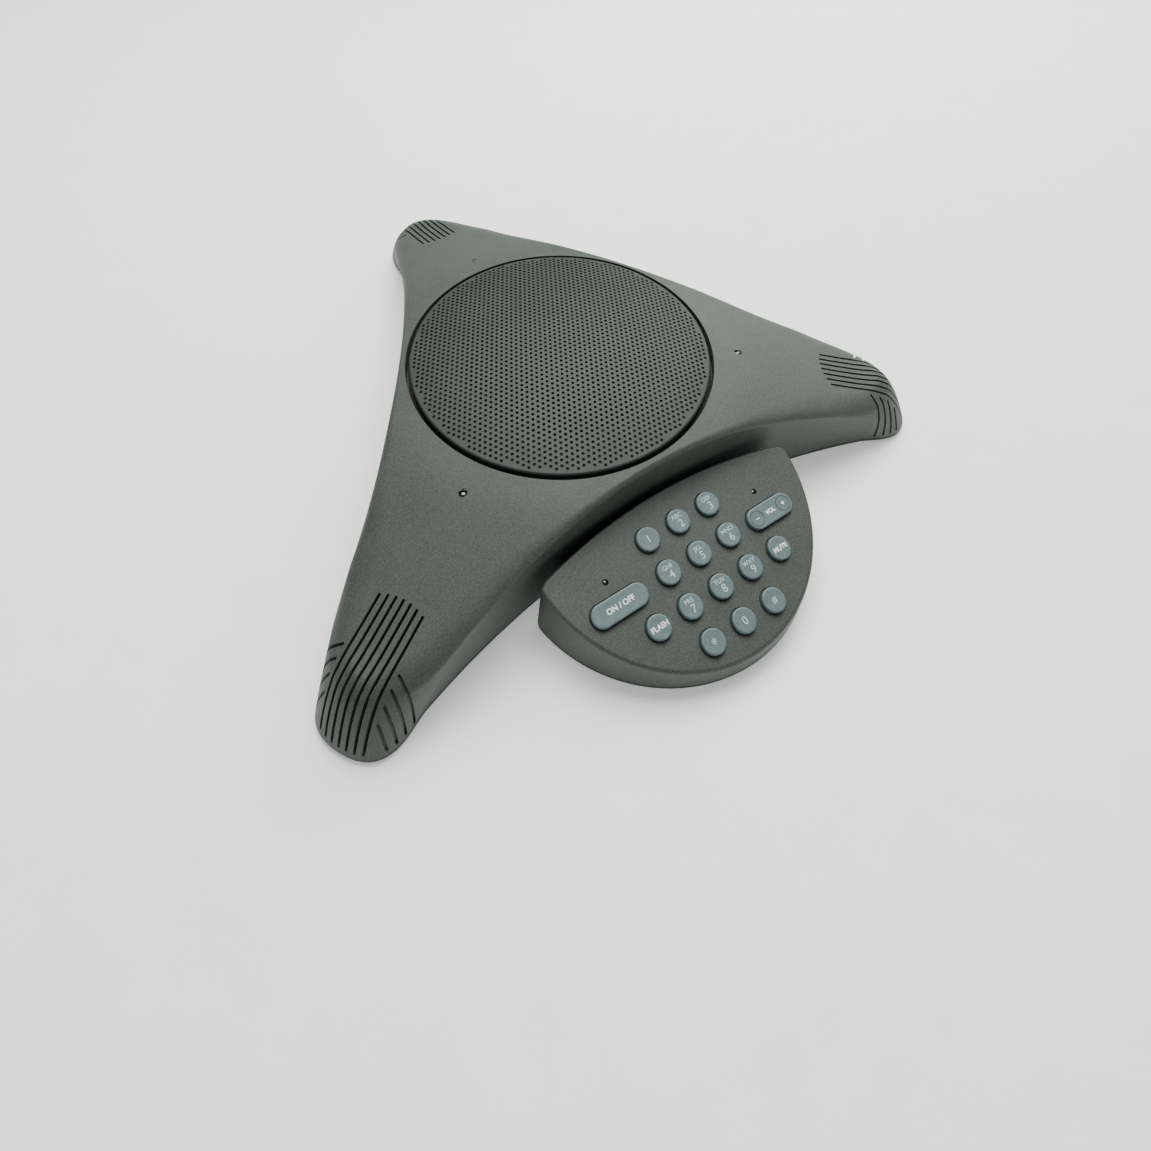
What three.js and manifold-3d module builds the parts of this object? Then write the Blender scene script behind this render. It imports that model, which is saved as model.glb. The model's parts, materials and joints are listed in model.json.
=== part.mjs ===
// Conference speakerphone: a three-armed console with a keypad pod on its front side.
// Millimetres, +Z up. The keypad faces -Y, one arm points to +Y, and Z = 0 is the table top.
// Pieces are laid out round the speaker axis, and the whole is then moved along Y so that
// the origin is under the middle of the object.
import * as THREE from 'three';
import Module from 'manifold-3d';
import { mergeVertices } from 'three/addons/utils/BufferGeometryUtils.js';

const wasm = await Module();
wasm.setup();

// Heights above the table
const ringHeight = 60;        // the groove round the speaker grille
const domeRise = 9;           // the grille's crown above its own edge
const footHeight = 1.4;
const underside = 1;
const floorTop = 3;
const seamHeight = 3.3;       // lower edge of the upper mouldings
const gap = 0.3;              // clearance between touching pieces

// Walls
const skin = 2.5;             // console housing
const coverSkin = 2;          // keypad cover
const lipHeight = 5;          // inner lip of the bottom housing
const lipTaper = 2;
const lipThickness = 3.4;      // at its root

// Speaker
const grilleRadius = 80;
const openingRadius = 82.2;
const deckTop = ringHeight - 7.5;
const deckThickness = 2;
const driverHole = 52;

// Console outlines: three concave sides, each an arc, that meet in round arm ends
const topEdge = { sideMid: 86, sideRadius: 383, sideEnd: 97, lead: 14.5, tipHalf: 13.5, tip: 183 };
const baseEdge = { sideMid: 82.9, sideRadius: 416, sideEnd: 138, lead: 9, tipHalf: 27, tip: 204 };
const edgeRounding = 2.4;     // width of the rounding where the upper face turns into the wall
const armRounding = 9;        // how much wider that rounding grows along the arms' sides
const noseRoundness = 0.45;   // 0 for a straight wall, 1 for a quarter of an ellipse
const armAngles = [90, 210, 330];
const armNames = ['back', 'left', 'right'];
const sideSteps = 5;
const noseSteps = 6;

// Arm fittings, as distances from the speaker axis
const lampReach = 97.3;
const lampRadius = 1.8;
const slotStart = 147.2;
const slotCount = 7;
const slotPitch = 3.8;
const slotWidth = 1.3;
const slotFloor = 5.5;
const sideSlotReaches = [172.9, 177.9, 182.6, 186.6];
const sideSlotTop = 28;       // those reaches are at this height
const sideSlotLean = 26;      // degrees, with the lower ends nearer the tip
const sideSlotHalf = 13.5;    // the side slots start this far from the arm's middle line
const bossReach = 141;
const footReach = 176;
const microphoneReach = 181;

// Keypad pod: the part of a disc that lies in front of the console
const podCentreX = -2.5;
const podCentreY = -93;
const podRadius = 75.6;
const podBaseCentreY = -92.5;
const podBaseRadius = 76.5;
const podPoleY = -127;        // a point well inside the pod, for drawing its outline
const podRearY = -88.3;
const podRearRadius = 280;
const podSlope = Math.atan(0.305);
const faceY = -130;           // the middle of the key grid
const faceHeight = 26;        // the keypad face there
const keyProud = 2.4;
const keyTravel = 1;
const keyRadius = 6.3;
const keyGap = 0.5;
const keyPitchX = 18.2;
const keyPitchY = 17.5;
const pillX = 45.5;
const pillY = 7.7;
const onOffLength = 32;
const volumeLength = 28.6;
const podBoss = [60, -105];

// Bosses, posts and the way through for the ribbon between console and pod
const bossRadius = 4;
const pilotRadius = 1.7;
const bossLow = 8.3;
const neckHalf = 50;
const ribbonHalf = 12;

// Line socket and its pocket under the back arm
const pocket = { half: 13, near: 90, far: 128, top: 17, wall: 2 };
const channel = { near: 115, far: 122, top: 9, wall: 2 };
const socket = { half: 7.8, near: 76, far: 92, low: 4, high: 16.5 };

const charcoal = { color: 0x565e58, roughness: 0.62, metalness: 0 };
const blackPlastic = { color: 0x1d1f1e, roughness: 0.6, metalness: 0 };
const keyGrey = { color: 0x6f7f83, roughness: 0.55, metalness: 0 };
const rubberBlack = { color: 0x161616, roughness: 0.85, metalness: 0 };
const paintedSteel = { color: 0x59615b, roughness: 0.5, metalness: 0.3 };
const zincSteel = { color: 0xa9acae, roughness: 0.35, metalness: 0.9 };
const ferrite = { color: 0x2b2b2d, roughness: 0.5, metalness: 0.4 };
const paperCone = { color: 0x24221f, roughness: 0.9, metalness: 0 };
const circuitGreen = { color: 0x1e5a34, roughness: 0.5, metalness: 0 };
const siliconeGrey = { color: 0x8d8f8c, roughness: 0.8, metalness: 0 };
const lampLens = { color: 0x1a1f1c, roughness: 0.1, metalness: 0 };
const cableGrey = { color: 0xb9bcbd, roughness: 0.5, metalness: 0 };

const phone = new THREE.Group();

// Turns a closed geometry into a solid that can be joined and cut
function toSolid(geometry) {
  const bare = geometry.index ? geometry.clone() : geometry;
  bare.deleteAttribute('normal');
  bare.deleteAttribute('uv');
  const merged = mergeVertices(bare, 1e-4);
  const index = merged.index.array;
  const kept = [];
  for (let i = 0; i < index.length; i += 3) {
    const [a, b, c] = [index[i], index[i + 1], index[i + 2]];
    if (a !== b && b !== c && c !== a) kept.push(a, b, c);
  }
  return new wasm.Manifold(new wasm.Mesh({
    numProp: 3,
    vertProperties: new Float32Array(merged.attributes.position.array),
    triVerts: new Uint32Array(kept),
  }));
}

function toGeometry(solid) {
  const mesh = solid.getMesh();
  const geometry = new THREE.BufferGeometry();
  geometry.setAttribute('position', new THREE.BufferAttribute(new Float32Array(mesh.vertProperties), 3));
  geometry.setIndex(new THREE.BufferAttribute(new Uint32Array(mesh.triVerts), 1));
  return geometry;
}

function addPiece(name, geometry, finish, parent = phone) {
  const piece = new THREE.Mesh(geometry, new THREE.MeshStandardMaterial(finish));
  piece.name = name;
  parent.add(piece);
  return piece;
}

function joinAll(first, others) {
  return others.reduce((whole, solid) => whole.add(solid), first);
}

function cutAll(first, others) {
  return others.reduce((whole, solid) => whole.subtract(solid), first);
}

// A box given by its lowest and highest corners
function boxBetween(low, high) {
  const size = high.map((value, axis) => value - low[axis]);
  const box = new THREE.BoxGeometry(...size);
  box.translate(...low.map((value, axis) => value + size[axis] / 2));
  return toSolid(box);
}

// An upright round bar with its axis through [x, y]
function upright([x, y], radius, low, high, sides = 16) {
  const bar = new THREE.CylinderGeometry(radius, radius, high - low, sides);
  bar.rotateX(Math.PI / 2);
  bar.translate(x, y, (low + high) / 2);
  return toSolid(bar);
}

// A turned shape about the Z axis from [radius, height] points, in either direction.
// A profile that stays off the axis is closed on itself, so that it makes a ring.
function turned(profile, sides) {
  const points = profile.map(([radius, height]) => new THREE.Vector2(radius, height));
  if (THREE.ShapeUtils.area(points) < 0) points.reverse();
  if (points[0].x > 0) points.push(points[0]);
  const lathe = new THREE.LatheGeometry(points, sides);
  lathe.rotateX(Math.PI / 2);
  return toSolid(lathe);
}

function polar(angle, reach) {
  const radians = THREE.MathUtils.degToRad(angle);
  return [reach * Math.cos(radians), reach * Math.sin(radians)];
}

// Moves each [x, y] point of an outline inwards by its own distance
function insetEach(outline, distances) {
  const count = outline.length;
  return outline.map(([x, y], i) => {
    const before = outline[(i + count - 1) % count];
    const after = outline[(i + 1) % count];
    const dx = after[0] - before[0];
    const dy = after[1] - before[1];
    const length = Math.hypot(dx, dy);
    return [x - distances[i] * dy / length, y + distances[i] * dx / length];
  });
}

function inset(outline, distance) {
  return insetEach(outline, outline.map(() => distance));
}

function blendOutlines(from, to, share) {
  return from.map(([x, y], i) => [x + (to[i][0] - x) * share, y + (to[i][1] - y) * share]);
}

function level(outline, height) {
  return outline.map(([x, y]) => {
    const z = typeof height === 'function' ? height(x, y) : height;
    return new THREE.Vector3(x, y, z);
  });
}

// Skins a stack of rings of equal length, given from the top down and anticlockwise from above.
// A ringed stack joins its last ring to its first; any other is capped at both ends.
function loft(rings, ringed) {
  const count = rings[0].length;
  const points = rings.flat();
  const index = [];
  const spans = ringed ? rings.length : rings.length - 1;
  for (let ring = 0; ring < spans; ring++) {
    const below = (ring + 1) % rings.length;
    for (let i = 0; i < count; i++) {
      const j = (i + 1) % count;
      index.push(ring * count + i, below * count + i, below * count + j);
      index.push(ring * count + i, below * count + j, ring * count + j);
    }
  }
  if (!ringed) {
    addCap(points, index, rings[0], 0, false);
    addCap(points, index, rings[rings.length - 1], (rings.length - 1) * count, true);
  }
  const geometry = new THREE.BufferGeometry().setFromPoints(points);
  geometry.setIndex(index);
  return toSolid(geometry);
}

function addCap(points, index, ring, start, facingDown) {
  const middle = ring.reduce((sum, point) => sum.add(point), new THREE.Vector3()).divideScalar(ring.length);
  const hub = points.push(middle) - 1;
  for (let i = 0; i < ring.length; i++) {
    const j = (i + 1) % ring.length;
    if (facingDown) index.push(hub, start + j, start + i);
    else index.push(hub, start + i, start + j);
  }
}

// Half of one arm's outline, from the middle of a side to the tip, as [along the arm, across it]
function halfArm(edge) {
  const [cos, sin] = polar(60, 1);
  const sagitta = (across) => edge.sideRadius - Math.sqrt(edge.sideRadius ** 2 - across ** 2);
  const onSide = (across) => {
    const out = edge.sideMid + sagitta(across);
    return new THREE.Vector2(across * sin + out * cos, out * sin - across * cos);
  };
  const sideEnd = onSide(edge.sideEnd);
  const along = sideEnd.clone().sub(onSide(edge.sideEnd - 1)).setLength(edge.lead);
  const nose = new THREE.CubicBezierCurve(
    sideEnd,
    sideEnd.clone().add(along),
    new THREE.Vector2(edge.tip, edge.tipHalf),
    new THREE.Vector2(edge.tip, 0),
  );
  const points = nose.getPoints(noseSteps);
  for (let step = sideSteps - 1; step >= 0; step--) points.unshift(onSide(edge.sideEnd * step / sideSteps));
  return points.map((point) => [point.x, point.y]);
}

function consoleOutline(edge) {
  const half = halfArm(edge);
  const outline = [];
  for (const angle of armAngles) {
    const [cos, sin] = polar(angle, 1);
    const place = ([along, across]) => [along * cos - across * sin, along * sin + across * cos];
    for (const [along, across] of half) outline.push(place([along, -across]));
    for (const point of half.slice(1, -1).reverse()) outline.push(place(point));
  }
  return outline;
}

// The console's upper face falls away from the grille: how far, at each distance from the axis
const fall = new THREE.SplineCurve([
  [81, 0], [97, 4.2], [122, 12.2], [147, 19.9], [160, 23.5], [175, 27], [190, 28.6],
].map(([reach, drop]) => new THREE.Vector2(reach, drop)));
const fallPoints = fall.getPoints(60);

function faceHeightAt(x, y) {
  const reach = Math.hypot(x, y);
  const next = fallPoints.findIndex((point) => point.x > reach);
  if (next < 1) return ringHeight - (next === 0 ? 0 : fallPoints[fallPoints.length - 1].y);
  const [near, far] = [fallPoints[next - 1], fallPoints[next]];
  return ringHeight - near.y - (far.y - near.y) * (reach - near.x) / (far.x - near.x);
}

// How far a point lies from the middle line of the arm that it belongs to
function distanceFromArm(x, y) {
  const distances = armAngles.map((angle) => {
    const [cos, sin] = polar(angle, 1);
    return x * cos + y * sin > 0 ? Math.abs(y * cos - x * sin) : Infinity;
  });
  return Math.min(...distances);
}

// Rings of the console's outer or, with a depth, inner surface from the opening down to the seam.
// The shares say how far along the upper face, and how far down the wall, each ring lies.
function consoleRings(depth, faceShares, wallShares) {
  const { clamp, lerp } = THREE.MathUtils;
  const edge = inset(consoleOutline(topEdge), depth);
  const base = inset(consoleOutline(baseEdge), depth);
  const opening = edge.map(([x, y]) => {
    const reach = Math.hypot(x, y);
    return [x * openingRadius / reach, y * openingRadius / reach];
  });
  const extraWidth = edge.map(([x, y]) => (
    armRounding * clamp((Math.hypot(x, y) - 90) / 60, 0, 1) * clamp((distanceFromArm(x, y) - 8) / 7, 0, 1)
  ));
  const widths = edge.map(([x, y], i) => {
    const besideOpening = 0.45 * (topEdge.sideMid - openingRadius);
    return Math.min(edgeRounding, besideOpening + (Math.hypot(x, y) - topEdge.sideMid) * 0.1) + extraWidth[i];
  });
  const softEdge = insetEach(edge, widths);
  const onFace = (outline) => outline.map(([x, y]) => new THREE.Vector3(x, y, faceHeightAt(x, y) - depth));
  const rings = faceShares.map((share) => onFace(blendOutlines(opening, softEdge, share)));
  rings.push(onFace(softEdge));
  const corner = onFace(edge);
  const wallTop = corner.map((point, i) => point.z - 3.2 - 0.7 * extraWidth[i]);
  const turnShares = depth === 0 ? [0.4, 0.7] : [];
  for (const share of turnShares) {
    rings.push(onFace(softEdge).map((start, i) => {
      const end = corner[i].clone().setZ(wallTop[i]);
      return new THREE.QuadraticBezierCurve3(start, corner[i], end).getPoint(share);
    }));
  }
  for (const share of wallShares) {
    rings.push(edge.map(([x, y], i) => {
      const flare = Math.hypot(...base[i]) - Math.hypot(x, y);
      const roundness = noseRoundness * clamp(flare / 20, 0, 1);
      const across = lerp(share, Math.sqrt(1 - (1 - share) ** 2), roundness);
      return new THREE.Vector3(
        x + (base[i][0] - x) * across,
        y + (base[i][1] - y) * across,
        wallTop[i] + (seamHeight - wallTop[i]) * share,
      );
    }));
  }
  return rings;
}

// Cutters for one arm's end: long slots along the arm and short ones across its sides
function slotCutters(angle) {
  const cutters = [];
  const top = ringHeight;
  for (let slot = 0; slot < slotCount; slot++) {
    const across = (slot - (slotCount - 1) / 2) * slotPitch;
    const start = slotStart + across ** 2 / 55;
    cutters.push(boxBetween(
      [start, across - slotWidth / 2, slotFloor],
      [baseEdge.tip + 4, across + slotWidth / 2, top],
    ));
  }
  for (const reach of sideSlotReaches) {
    for (const side of [-1, 1]) {
      const ends = [side * sideSlotHalf, side * 40].sort((a, b) => a - b);
      const low = (slotFloor - sideSlotTop) / Math.cos(THREE.MathUtils.degToRad(sideSlotLean));
      const blade = boxBetween([-slotWidth / 2, ends[0], low], [slotWidth / 2, ends[1], 12]);
      cutters.push(blade.rotate([0, -sideSlotLean, 0]).translate([reach, 0, sideSlotTop]));
    }
  }
  return cutters.map((cutter) => cutter.rotate([0, 0, angle]));
}

// The deck under the grille: a seat for its edge, and the hole that the driver speaks through
function speakerDeck() {
  const low = deckTop - deckThickness;
  return turned([
    [driverHole, low], [84, low], [84, ringHeight - 3], [openingRadius, ringHeight - 3],
    [openingRadius, deckTop], [driverHole, deckTop],
  ], 40);
}

const driverPins = [45, 135, 225, 315].map((angle) => polar(angle, 56));

function topHousing() {
  const outer = consoleRings(0, [0, 0.32, 0.62, 0.84], [0, 0.15, 0.45, 1]);
  const inner = consoleRings(skin, [0, 0.6], [0, 0.3, 1]);
  const shell = loft([...outer, ...inner.reverse()], true);
  const bossTop = faceHeightAt(bossReach, 0) - 1;
  const bossPlaces = armAngles.map((angle) => polar(angle, bossReach));
  const bosses = bossPlaces.map((place) => upright(place, bossRadius, bossLow, bossTop, 12));
  const pins = driverPins.map((place) => upright(place, 1.2, deckTop - 6, deckTop - 1, 6));
  const holes = armAngles.flatMap((angle) => [
    upright(polar(angle, bossReach), pilotRadius, bossLow - 1, 24, 8),
    upright(polar(angle, lampReach), lampRadius + gap, ringHeight - 11, ringHeight, 10),
  ]);
  const slots = armAngles.flatMap((angle) => slotCutters(angle));
  const ribbonGap = boxBetween([-ribbonHalf, -95, floorTop], [ribbonHalf, -60, 12]);
  const neckGap = boxBetween([-neckHalf - gap, -95, floorTop], [neckHalf + gap, -60, lipHeight + gap]);
  const cableGap = boxBetween(
    [20, channel.near - channel.wall - gap, floorTop],
    [50, channel.far + channel.wall + gap, channel.top + channel.wall + gap],
  );
  const solid = joinAll(cutAll(shell, slots), [speakerDeck(), ...bosses, ...pins]);
  return cutAll(solid, [...holes, ribbonGap, neckGap, cableGap]);
}

addPiece('top_housing', toGeometry(topHousing()), charcoal);

// Distance from the pod's pole to a circle, along a direction
function rayToCircle(direction, centreY, radius) {
  const away = podPoleY - centreY;
  const along = away * direction[1];
  return -along + Math.sqrt(along ** 2 - away ** 2 + radius ** 2);
}

// The pod's outline: the shorter way to the disc or to the console's side, with the corner rounded
function podOutline(centreY, radius, rearY) {
  const outline = [];
  const count = 48;
  const softness = 1;
  for (let step = 0; step < count; step++) {
    const direction = polar(360 * step / count, 1);
    const toDisc = rayToCircle(direction, centreY, radius);
    const toRear = rayToCircle(direction, rearY - podRearRadius, podRearRadius);
    const reach = -softness * Math.log(Math.exp(-toDisc / softness) + Math.exp(-toRear / softness));
    outline.push([podCentreX + reach * direction[0], podPoleY + reach * direction[1]]);
  }
  return outline;
}

const podTop = podOutline(podCentreY, podRadius, podRearY);
const podBase = podOutline(podBaseCentreY, podBaseRadius, podRearY + 1);

function onKeypadFace(x, y) {
  return faceHeight + (y - faceY) * Math.tan(podSlope);
}

// Rings of the keypad cover's outer or inner surface, with a rolled edge round the face
function coverRings(depth, edgeRoll) {
  const slant = depth / Math.cos(podSlope);
  const belowFace = (drop) => (x, y) => onKeypadFace(x, y) - slant - drop;
  return [
    level(inset(podTop, depth + edgeRoll), belowFace(0)),
    level(inset(podTop, depth + edgeRoll * 0.3), belowFace(edgeRoll * 0.3)),
    level(inset(podTop, depth), belowFace(edgeRoll)),
    level(inset(podBase, depth), seamHeight),
  ];
}

const keyFace = new THREE.Group();
keyFace.position.set(0, faceY, faceHeight);
keyFace.rotation.x = podSlope;

// A stadium outline as a shape, for the two long keys and their openings
function pillShape(length, radius) {
  const reach = length / 2 - radius;
  const shape = new THREE.Shape();
  shape.absarc(reach, 0, radius, -Math.PI / 2, Math.PI / 2);
  shape.absarc(-reach, 0, radius, Math.PI / 2, 3 * Math.PI / 2);
  return shape;
}

function pillSolid(length, radius, low, high) {
  const pill = new THREE.ExtrudeGeometry(pillShape(length, radius), {
    depth: high - low, bevelEnabled: false, curveSegments: 6,
  });
  pill.translate(0, 0, low);
  return toSolid(pill);
}

// The small keys: four rows of three, with one more on each side of the third row
const roundKeys = [
  ['key_1', -1, 0], ['key_2', 0, 0], ['key_3', 1, 0],
  ['key_4', -1, 1], ['key_5', 0, 1], ['key_6', 1, 1],
  ['key_7', -1, 2], ['key_8', 0, 2], ['key_9', 1, 2],
  ['key_star', -1, 3], ['key_0', 0, 3], ['key_hash', 1, 3],
  ['key_flash', -2, 2], ['key_mute', 2, 2],
].map(([name, column, row]) => ({ name, x: column * keyPitchX, y: (1.5 - row) * keyPitchY }));

const longKeys = [
  { name: 'key_on_off', x: -pillX, y: pillY, length: onOffLength },
  { name: 'key_volume', x: pillX, y: pillY, length: volumeLength },
];

const keypadLamps = [['keypad_lamp_left', -45.7, 20.1], ['keypad_lamp_right', 45.7, 20.1]];
const keypadLampRadius = 1.2;

// Places a solid that is drawn on the flat keypad face
function ontoFace(solid) {
  return solid.rotate([THREE.MathUtils.radToDeg(podSlope), 0, 0]).translate([0, faceY, faceHeight]);
}

function keypadCover() {
  const shell = loft(coverRings(0, 5), false).subtract(
    loft([...coverRings(coverSkin, 1.5), level(inset(podBase, coverSkin), 2)], false),
  );
  const bossTop = onKeypadFace(podBoss[0], podBoss[1]) - 1.4;
  const bossPlaces = [-1, 1].map((side) => [side * podBoss[0], podBoss[1]]);
  const bosses = bossPlaces.map((place) => upright(place, bossRadius, bossLow, bossTop, 10));
  const pilots = bossPlaces.map((place) => upright(place, pilotRadius, bossLow - 1, 18, 8));
  const openings = [
    ...roundKeys.map(({ x, y }) => upright([x, y], keyRadius + keyGap, -4, 2, 12)),
    ...longKeys.map(({ x, y, length }) => (
      pillSolid(length + 2 * keyGap, keyRadius + keyGap, -4, 2).translate([x, y, 0])
    )),
    ...keypadLamps.map(([, x, y]) => upright([x, y], keypadLampRadius + gap, -4, 2, 6)),
  ].map(ontoFace);
  const ribbonGap = boxBetween([-ribbonHalf, -95, 8], [ribbonHalf, -76, 16]);
  const neckGap = boxBetween([-neckHalf - gap, -88, floorTop], [neckHalf + gap, -76, lipHeight + gap]);
  return cutAll(joinAll(shell, bosses), [...pilots, ...openings, ribbonGap, neckGap]);
}

addPiece('keypad_cover', toGeometry(keypadCover()), charcoal);

// A key cap with the flange that keeps it behind the cover
function roundKey() {
  const flangeTop = -coverSkin - gap;
  const flangeLow = flangeTop - 0.8;
  return toGeometry(turned([
    [0, flangeLow], [keyRadius + 1.1, flangeLow], [keyRadius + 1.1, flangeTop], [keyRadius, flangeTop],
    [keyRadius, keyProud - 0.7], [keyRadius - 0.8, keyProud], [0, keyProud],
  ], 12));
}

// A long cap with a softened top edge
function pillCap(length, low) {
  const soft = 0.7;
  const top = new THREE.ExtrudeGeometry(pillShape(length - 2 * soft, keyRadius - soft), {
    depth: 0.5, bevelThickness: soft, bevelSize: soft, bevelSegments: 1, curveSegments: 6,
  });
  top.translate(0, 0, keyProud - soft - 0.5);
  return toSolid(top).add(pillSolid(length, keyRadius, low, keyProud - soft - 0.2));
}

function longKey(length) {
  const flangeTop = -coverSkin - gap;
  const flange = pillSolid(length + 2.2, keyRadius + 1.1, flangeTop - 0.8, flangeTop);
  return pillCap(length, flangeTop - 0.4).add(flange);
}

// The volume key rocks on a low ridge under its middle, where two ears keep it behind the cover
function rocker(length) {
  const low = -coverSkin - gap - 0.8;
  const cap = pillCap(length, low);
  const ridge = boxBetween([-1, -4, low - 0.7], [1, 4, low + 0.2]);
  const ears = boxBetween([-3, -keyRadius - 1.1, low], [3, keyRadius + 1.1, low + 0.6]);
  return cap.add(ridge).add(ears);
}

for (const { name, x, y } of roundKeys) {
  addPiece(name, roundKey(), keyGrey, keyFace).position.set(x, y, 0);
}
for (const { name, x, y, length } of longKeys) {
  const solid = name === 'key_volume' ? rocker(length) : longKey(length);
  addPiece(name, toGeometry(solid), keyGrey, keyFace).position.set(x, y, 0);
}
for (const [name, x, y] of keypadLamps) {
  const lens = turned([[0, -5.4], [keypadLampRadius, -5.4], [keypadLampRadius, -0.2], [0, -0.2]], 8);
  addPiece(name, toGeometry(lens), lampLens, keyFace).position.set(x, y, 0);
}

// Sheets under the keys, cut to the pod's shape with notches for its two screw bosses
function keypadSheet(top, thickness, margin) {
  const slant = (depth) => (x, y) => onKeypadFace(x, y) - depth / Math.cos(podSlope);
  const outline = inset(podOutline(podCentreY, podRadius, podRearY - 5), margin);
  const sheet = loft([level(outline, slant(top)), level(outline, slant(top + thickness))], false);
  const notches = [-1, 1].map((side) => upright([side * podBoss[0], podBoss[1]], 5.2, -10, 60, 12));
  return cutAll(sheet, notches);
}

const membraneTop = coverSkin + gap + 0.8 + keyTravel + gap;
const membraneThickness = 0.8;
const boardTop = membraneTop + membraneThickness + gap;
const boardThickness = 1.2;

function keyMembrane() {
  const lampHoles = keypadLamps.map(([, x, y]) => (
    ontoFace(upright([x, y], keypadLampRadius + gap, -9, 2, 8))
  ));
  return cutAll(keypadSheet(membraneTop, membraneThickness, 9), lampHoles);
}

addPiece('key_membrane', toGeometry(keyMembrane()), siliconeGrey);
addPiece('keypad_board', toGeometry(keypadSheet(boardTop, boardThickness, 12)), circuitGreen);

// The bottom housing: two shallow pans joined by a neck, with a lip inside each upper moulding
function pan(outline) {
  const lipOuter = inset(outline, skin + gap);
  const lipCrest = inset(outline, skin + gap + lipTaper);
  const lipInner = inset(outline, skin + gap + lipThickness);
  const solid = loft([level(outline, floorTop), level(outline, underside)], false);
  const lip = loft([
    level(lipCrest, lipHeight), level(lipOuter, floorTop - 0.5),
    level(lipInner, floorTop - 0.5), level(lipInner, lipHeight),
  ], true);
  return solid.add(lip);
}

const feet = [
  ...armAngles.map((angle, i) => [`foot_${armNames[i]}`, polar(angle, footReach)]),
  ['foot_keypad_left', [-42, -146]],
  ['foot_keypad_right', [42, -146]],
];
const footRadius = 6;

const screws = [
  ...armAngles.map((angle, i) => [`housing_screw_${armNames[i]}`, polar(angle, bossReach)]),
  ['keypad_screw_left', [-podBoss[0], podBoss[1]]],
  ['keypad_screw_right', [podBoss[0], podBoss[1]]],
];
const screwHead = { radius: 3, low: 3.2, high: 5 };

// Posts with pins that carry the main board
const boardPosts = [30, 150, 270].map((angle) => polar(angle, 50));
const mainBoardLow = 8;

function bottomHousing() {
  const consolePan = pan(consoleOutline(baseEdge));
  const podPan = pan(podBase);
  const neck = boxBetween([-neckHalf, -92, underside], [neckHalf, -70, floorTop]);
  const lipBridge = boxBetween([-neckHalf - gap, -86.5, floorTop], [neckHalf + gap, -69, lipHeight + 1]);
  const screwPosts = screws.map(([, place]) => upright(place, 5, floorTop - 1, 8, 10));
  const posts = boardPosts.map((place) => upright(place, 3.2, floorTop - 1, mainBoardLow - gap, 8));
  const pins = boardPosts.map((place) => upright(place, 1.2, floorTop, mainBoardLow + 3, 6));
  const solid = joinAll(cutAll(consolePan.add(podPan), [lipBridge]).add(neck), [
    ...screwPosts, ...posts, ...pins,
  ]);
  return cutAll(solid, [
    wellBlock(pocket.wall + gap, 0),
    channelBlock(channel.wall + gap, 0, 60),
    ...screws.map(([, place]) => upright(place, screwHead.radius + 0.4, 0, screwHead.high + gap, 10)),
    ...screws.map(([, place]) => upright(place, 1.8, 0, 12, 8)),
    ...feet.map(([, place]) => upright(place, footRadius + gap, 0, footHeight + gap, 14)),
  ]);
}

addPiece('bottom_housing', toGeometry(bottomHousing()), blackPlastic);

// The pocket and the channel as blocks that stand this far out from their hollows
function wellBlock(out, low) {
  const { half, near, far, top } = pocket;
  return boxBetween([-half - out, near - out, low], [half + out, far + out, top + out]);
}

function channelBlock(out, low, end) {
  const { near, far, top } = channel;
  return boxBetween([0, near - out, low], [end, far + out, top + out]);
}

// The well for the line cable, set in the floor of the console with a flange on top of it
function cableWell() {
  const { half, near, far, wall } = pocket;
  const flange = boxBetween(
    [-half - wall - 3, near - wall, floorTop + gap],
    [half + wall + 3, far + wall + 3, floorTop + gap + 1.5],
  );
  const outside = loft([level(consoleOutline(baseEdge), 40), level(consoleOutline(baseEdge), 0)], false);
  const duct = channelBlock(channel.wall, underside, 60).intersect(outside);
  const socketGap = boxBetween(
    [-socket.half - gap, near - wall - 1, socket.low - gap],
    [socket.half + gap, near + 1, socket.high + gap],
  );
  return cutAll(joinAll(wellBlock(wall, underside), [flange, duct]), [
    boxBetween([-half, near, 0], [half, far, pocket.top]),
    channelBlock(0, 0, 60),
    socketGap,
  ]);
}

addPiece('cable_well', toGeometry(cableWell()), blackPlastic);

for (const [name, place] of feet) {
  addPiece(name, toGeometry(upright(place, footRadius, 0, footHeight, 14)), rubberBlack);
}

// A pan-head screw, head down, with its tip in the upper moulding's boss
function screw() {
  const { radius, low, high } = screwHead;
  return toGeometry(turned([
    [0, low], [radius - 0.6, low], [radius, low + 0.7], [radius, high], [1.4, high], [1.4, 16], [0, 17],
  ], 8));
}

for (const [name, [x, y]] of screws) {
  addPiece(name, screw(), zincSteel).position.set(x, y, 0);
}

// The perforated grille. Its real holes are finer and closer: one here stands for a patch of them.
const grilleHolePitch = 19.6;
const grilleHoleRadius = 6;
const grilleThickness = 1.2;
const gasketThickness = 1.7;

function domeAt(radius) {
  return ringHeight + domeRise * (1 - (radius / openingRadius) ** 2);
}

function grilleHoles() {
  const holes = [];
  const reach = grilleRadius - 8;
  const rows = Math.ceil(reach / grilleHolePitch) + 1;
  for (let row = -rows; row <= rows; row++) {
    for (let column = -rows; column <= rows; column++) {
      const x = (column + (row % 2 ? 0.5 : 0)) * grilleHolePitch;
      const y = row * grilleHolePitch * Math.sqrt(3) / 2;
      if (Math.hypot(x, y) > reach) continue;
      holes.push(upright([x, y], grilleHoleRadius, ringHeight - 5, ringHeight + 15, 6));
    }
  }
  return holes;
}

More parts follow.
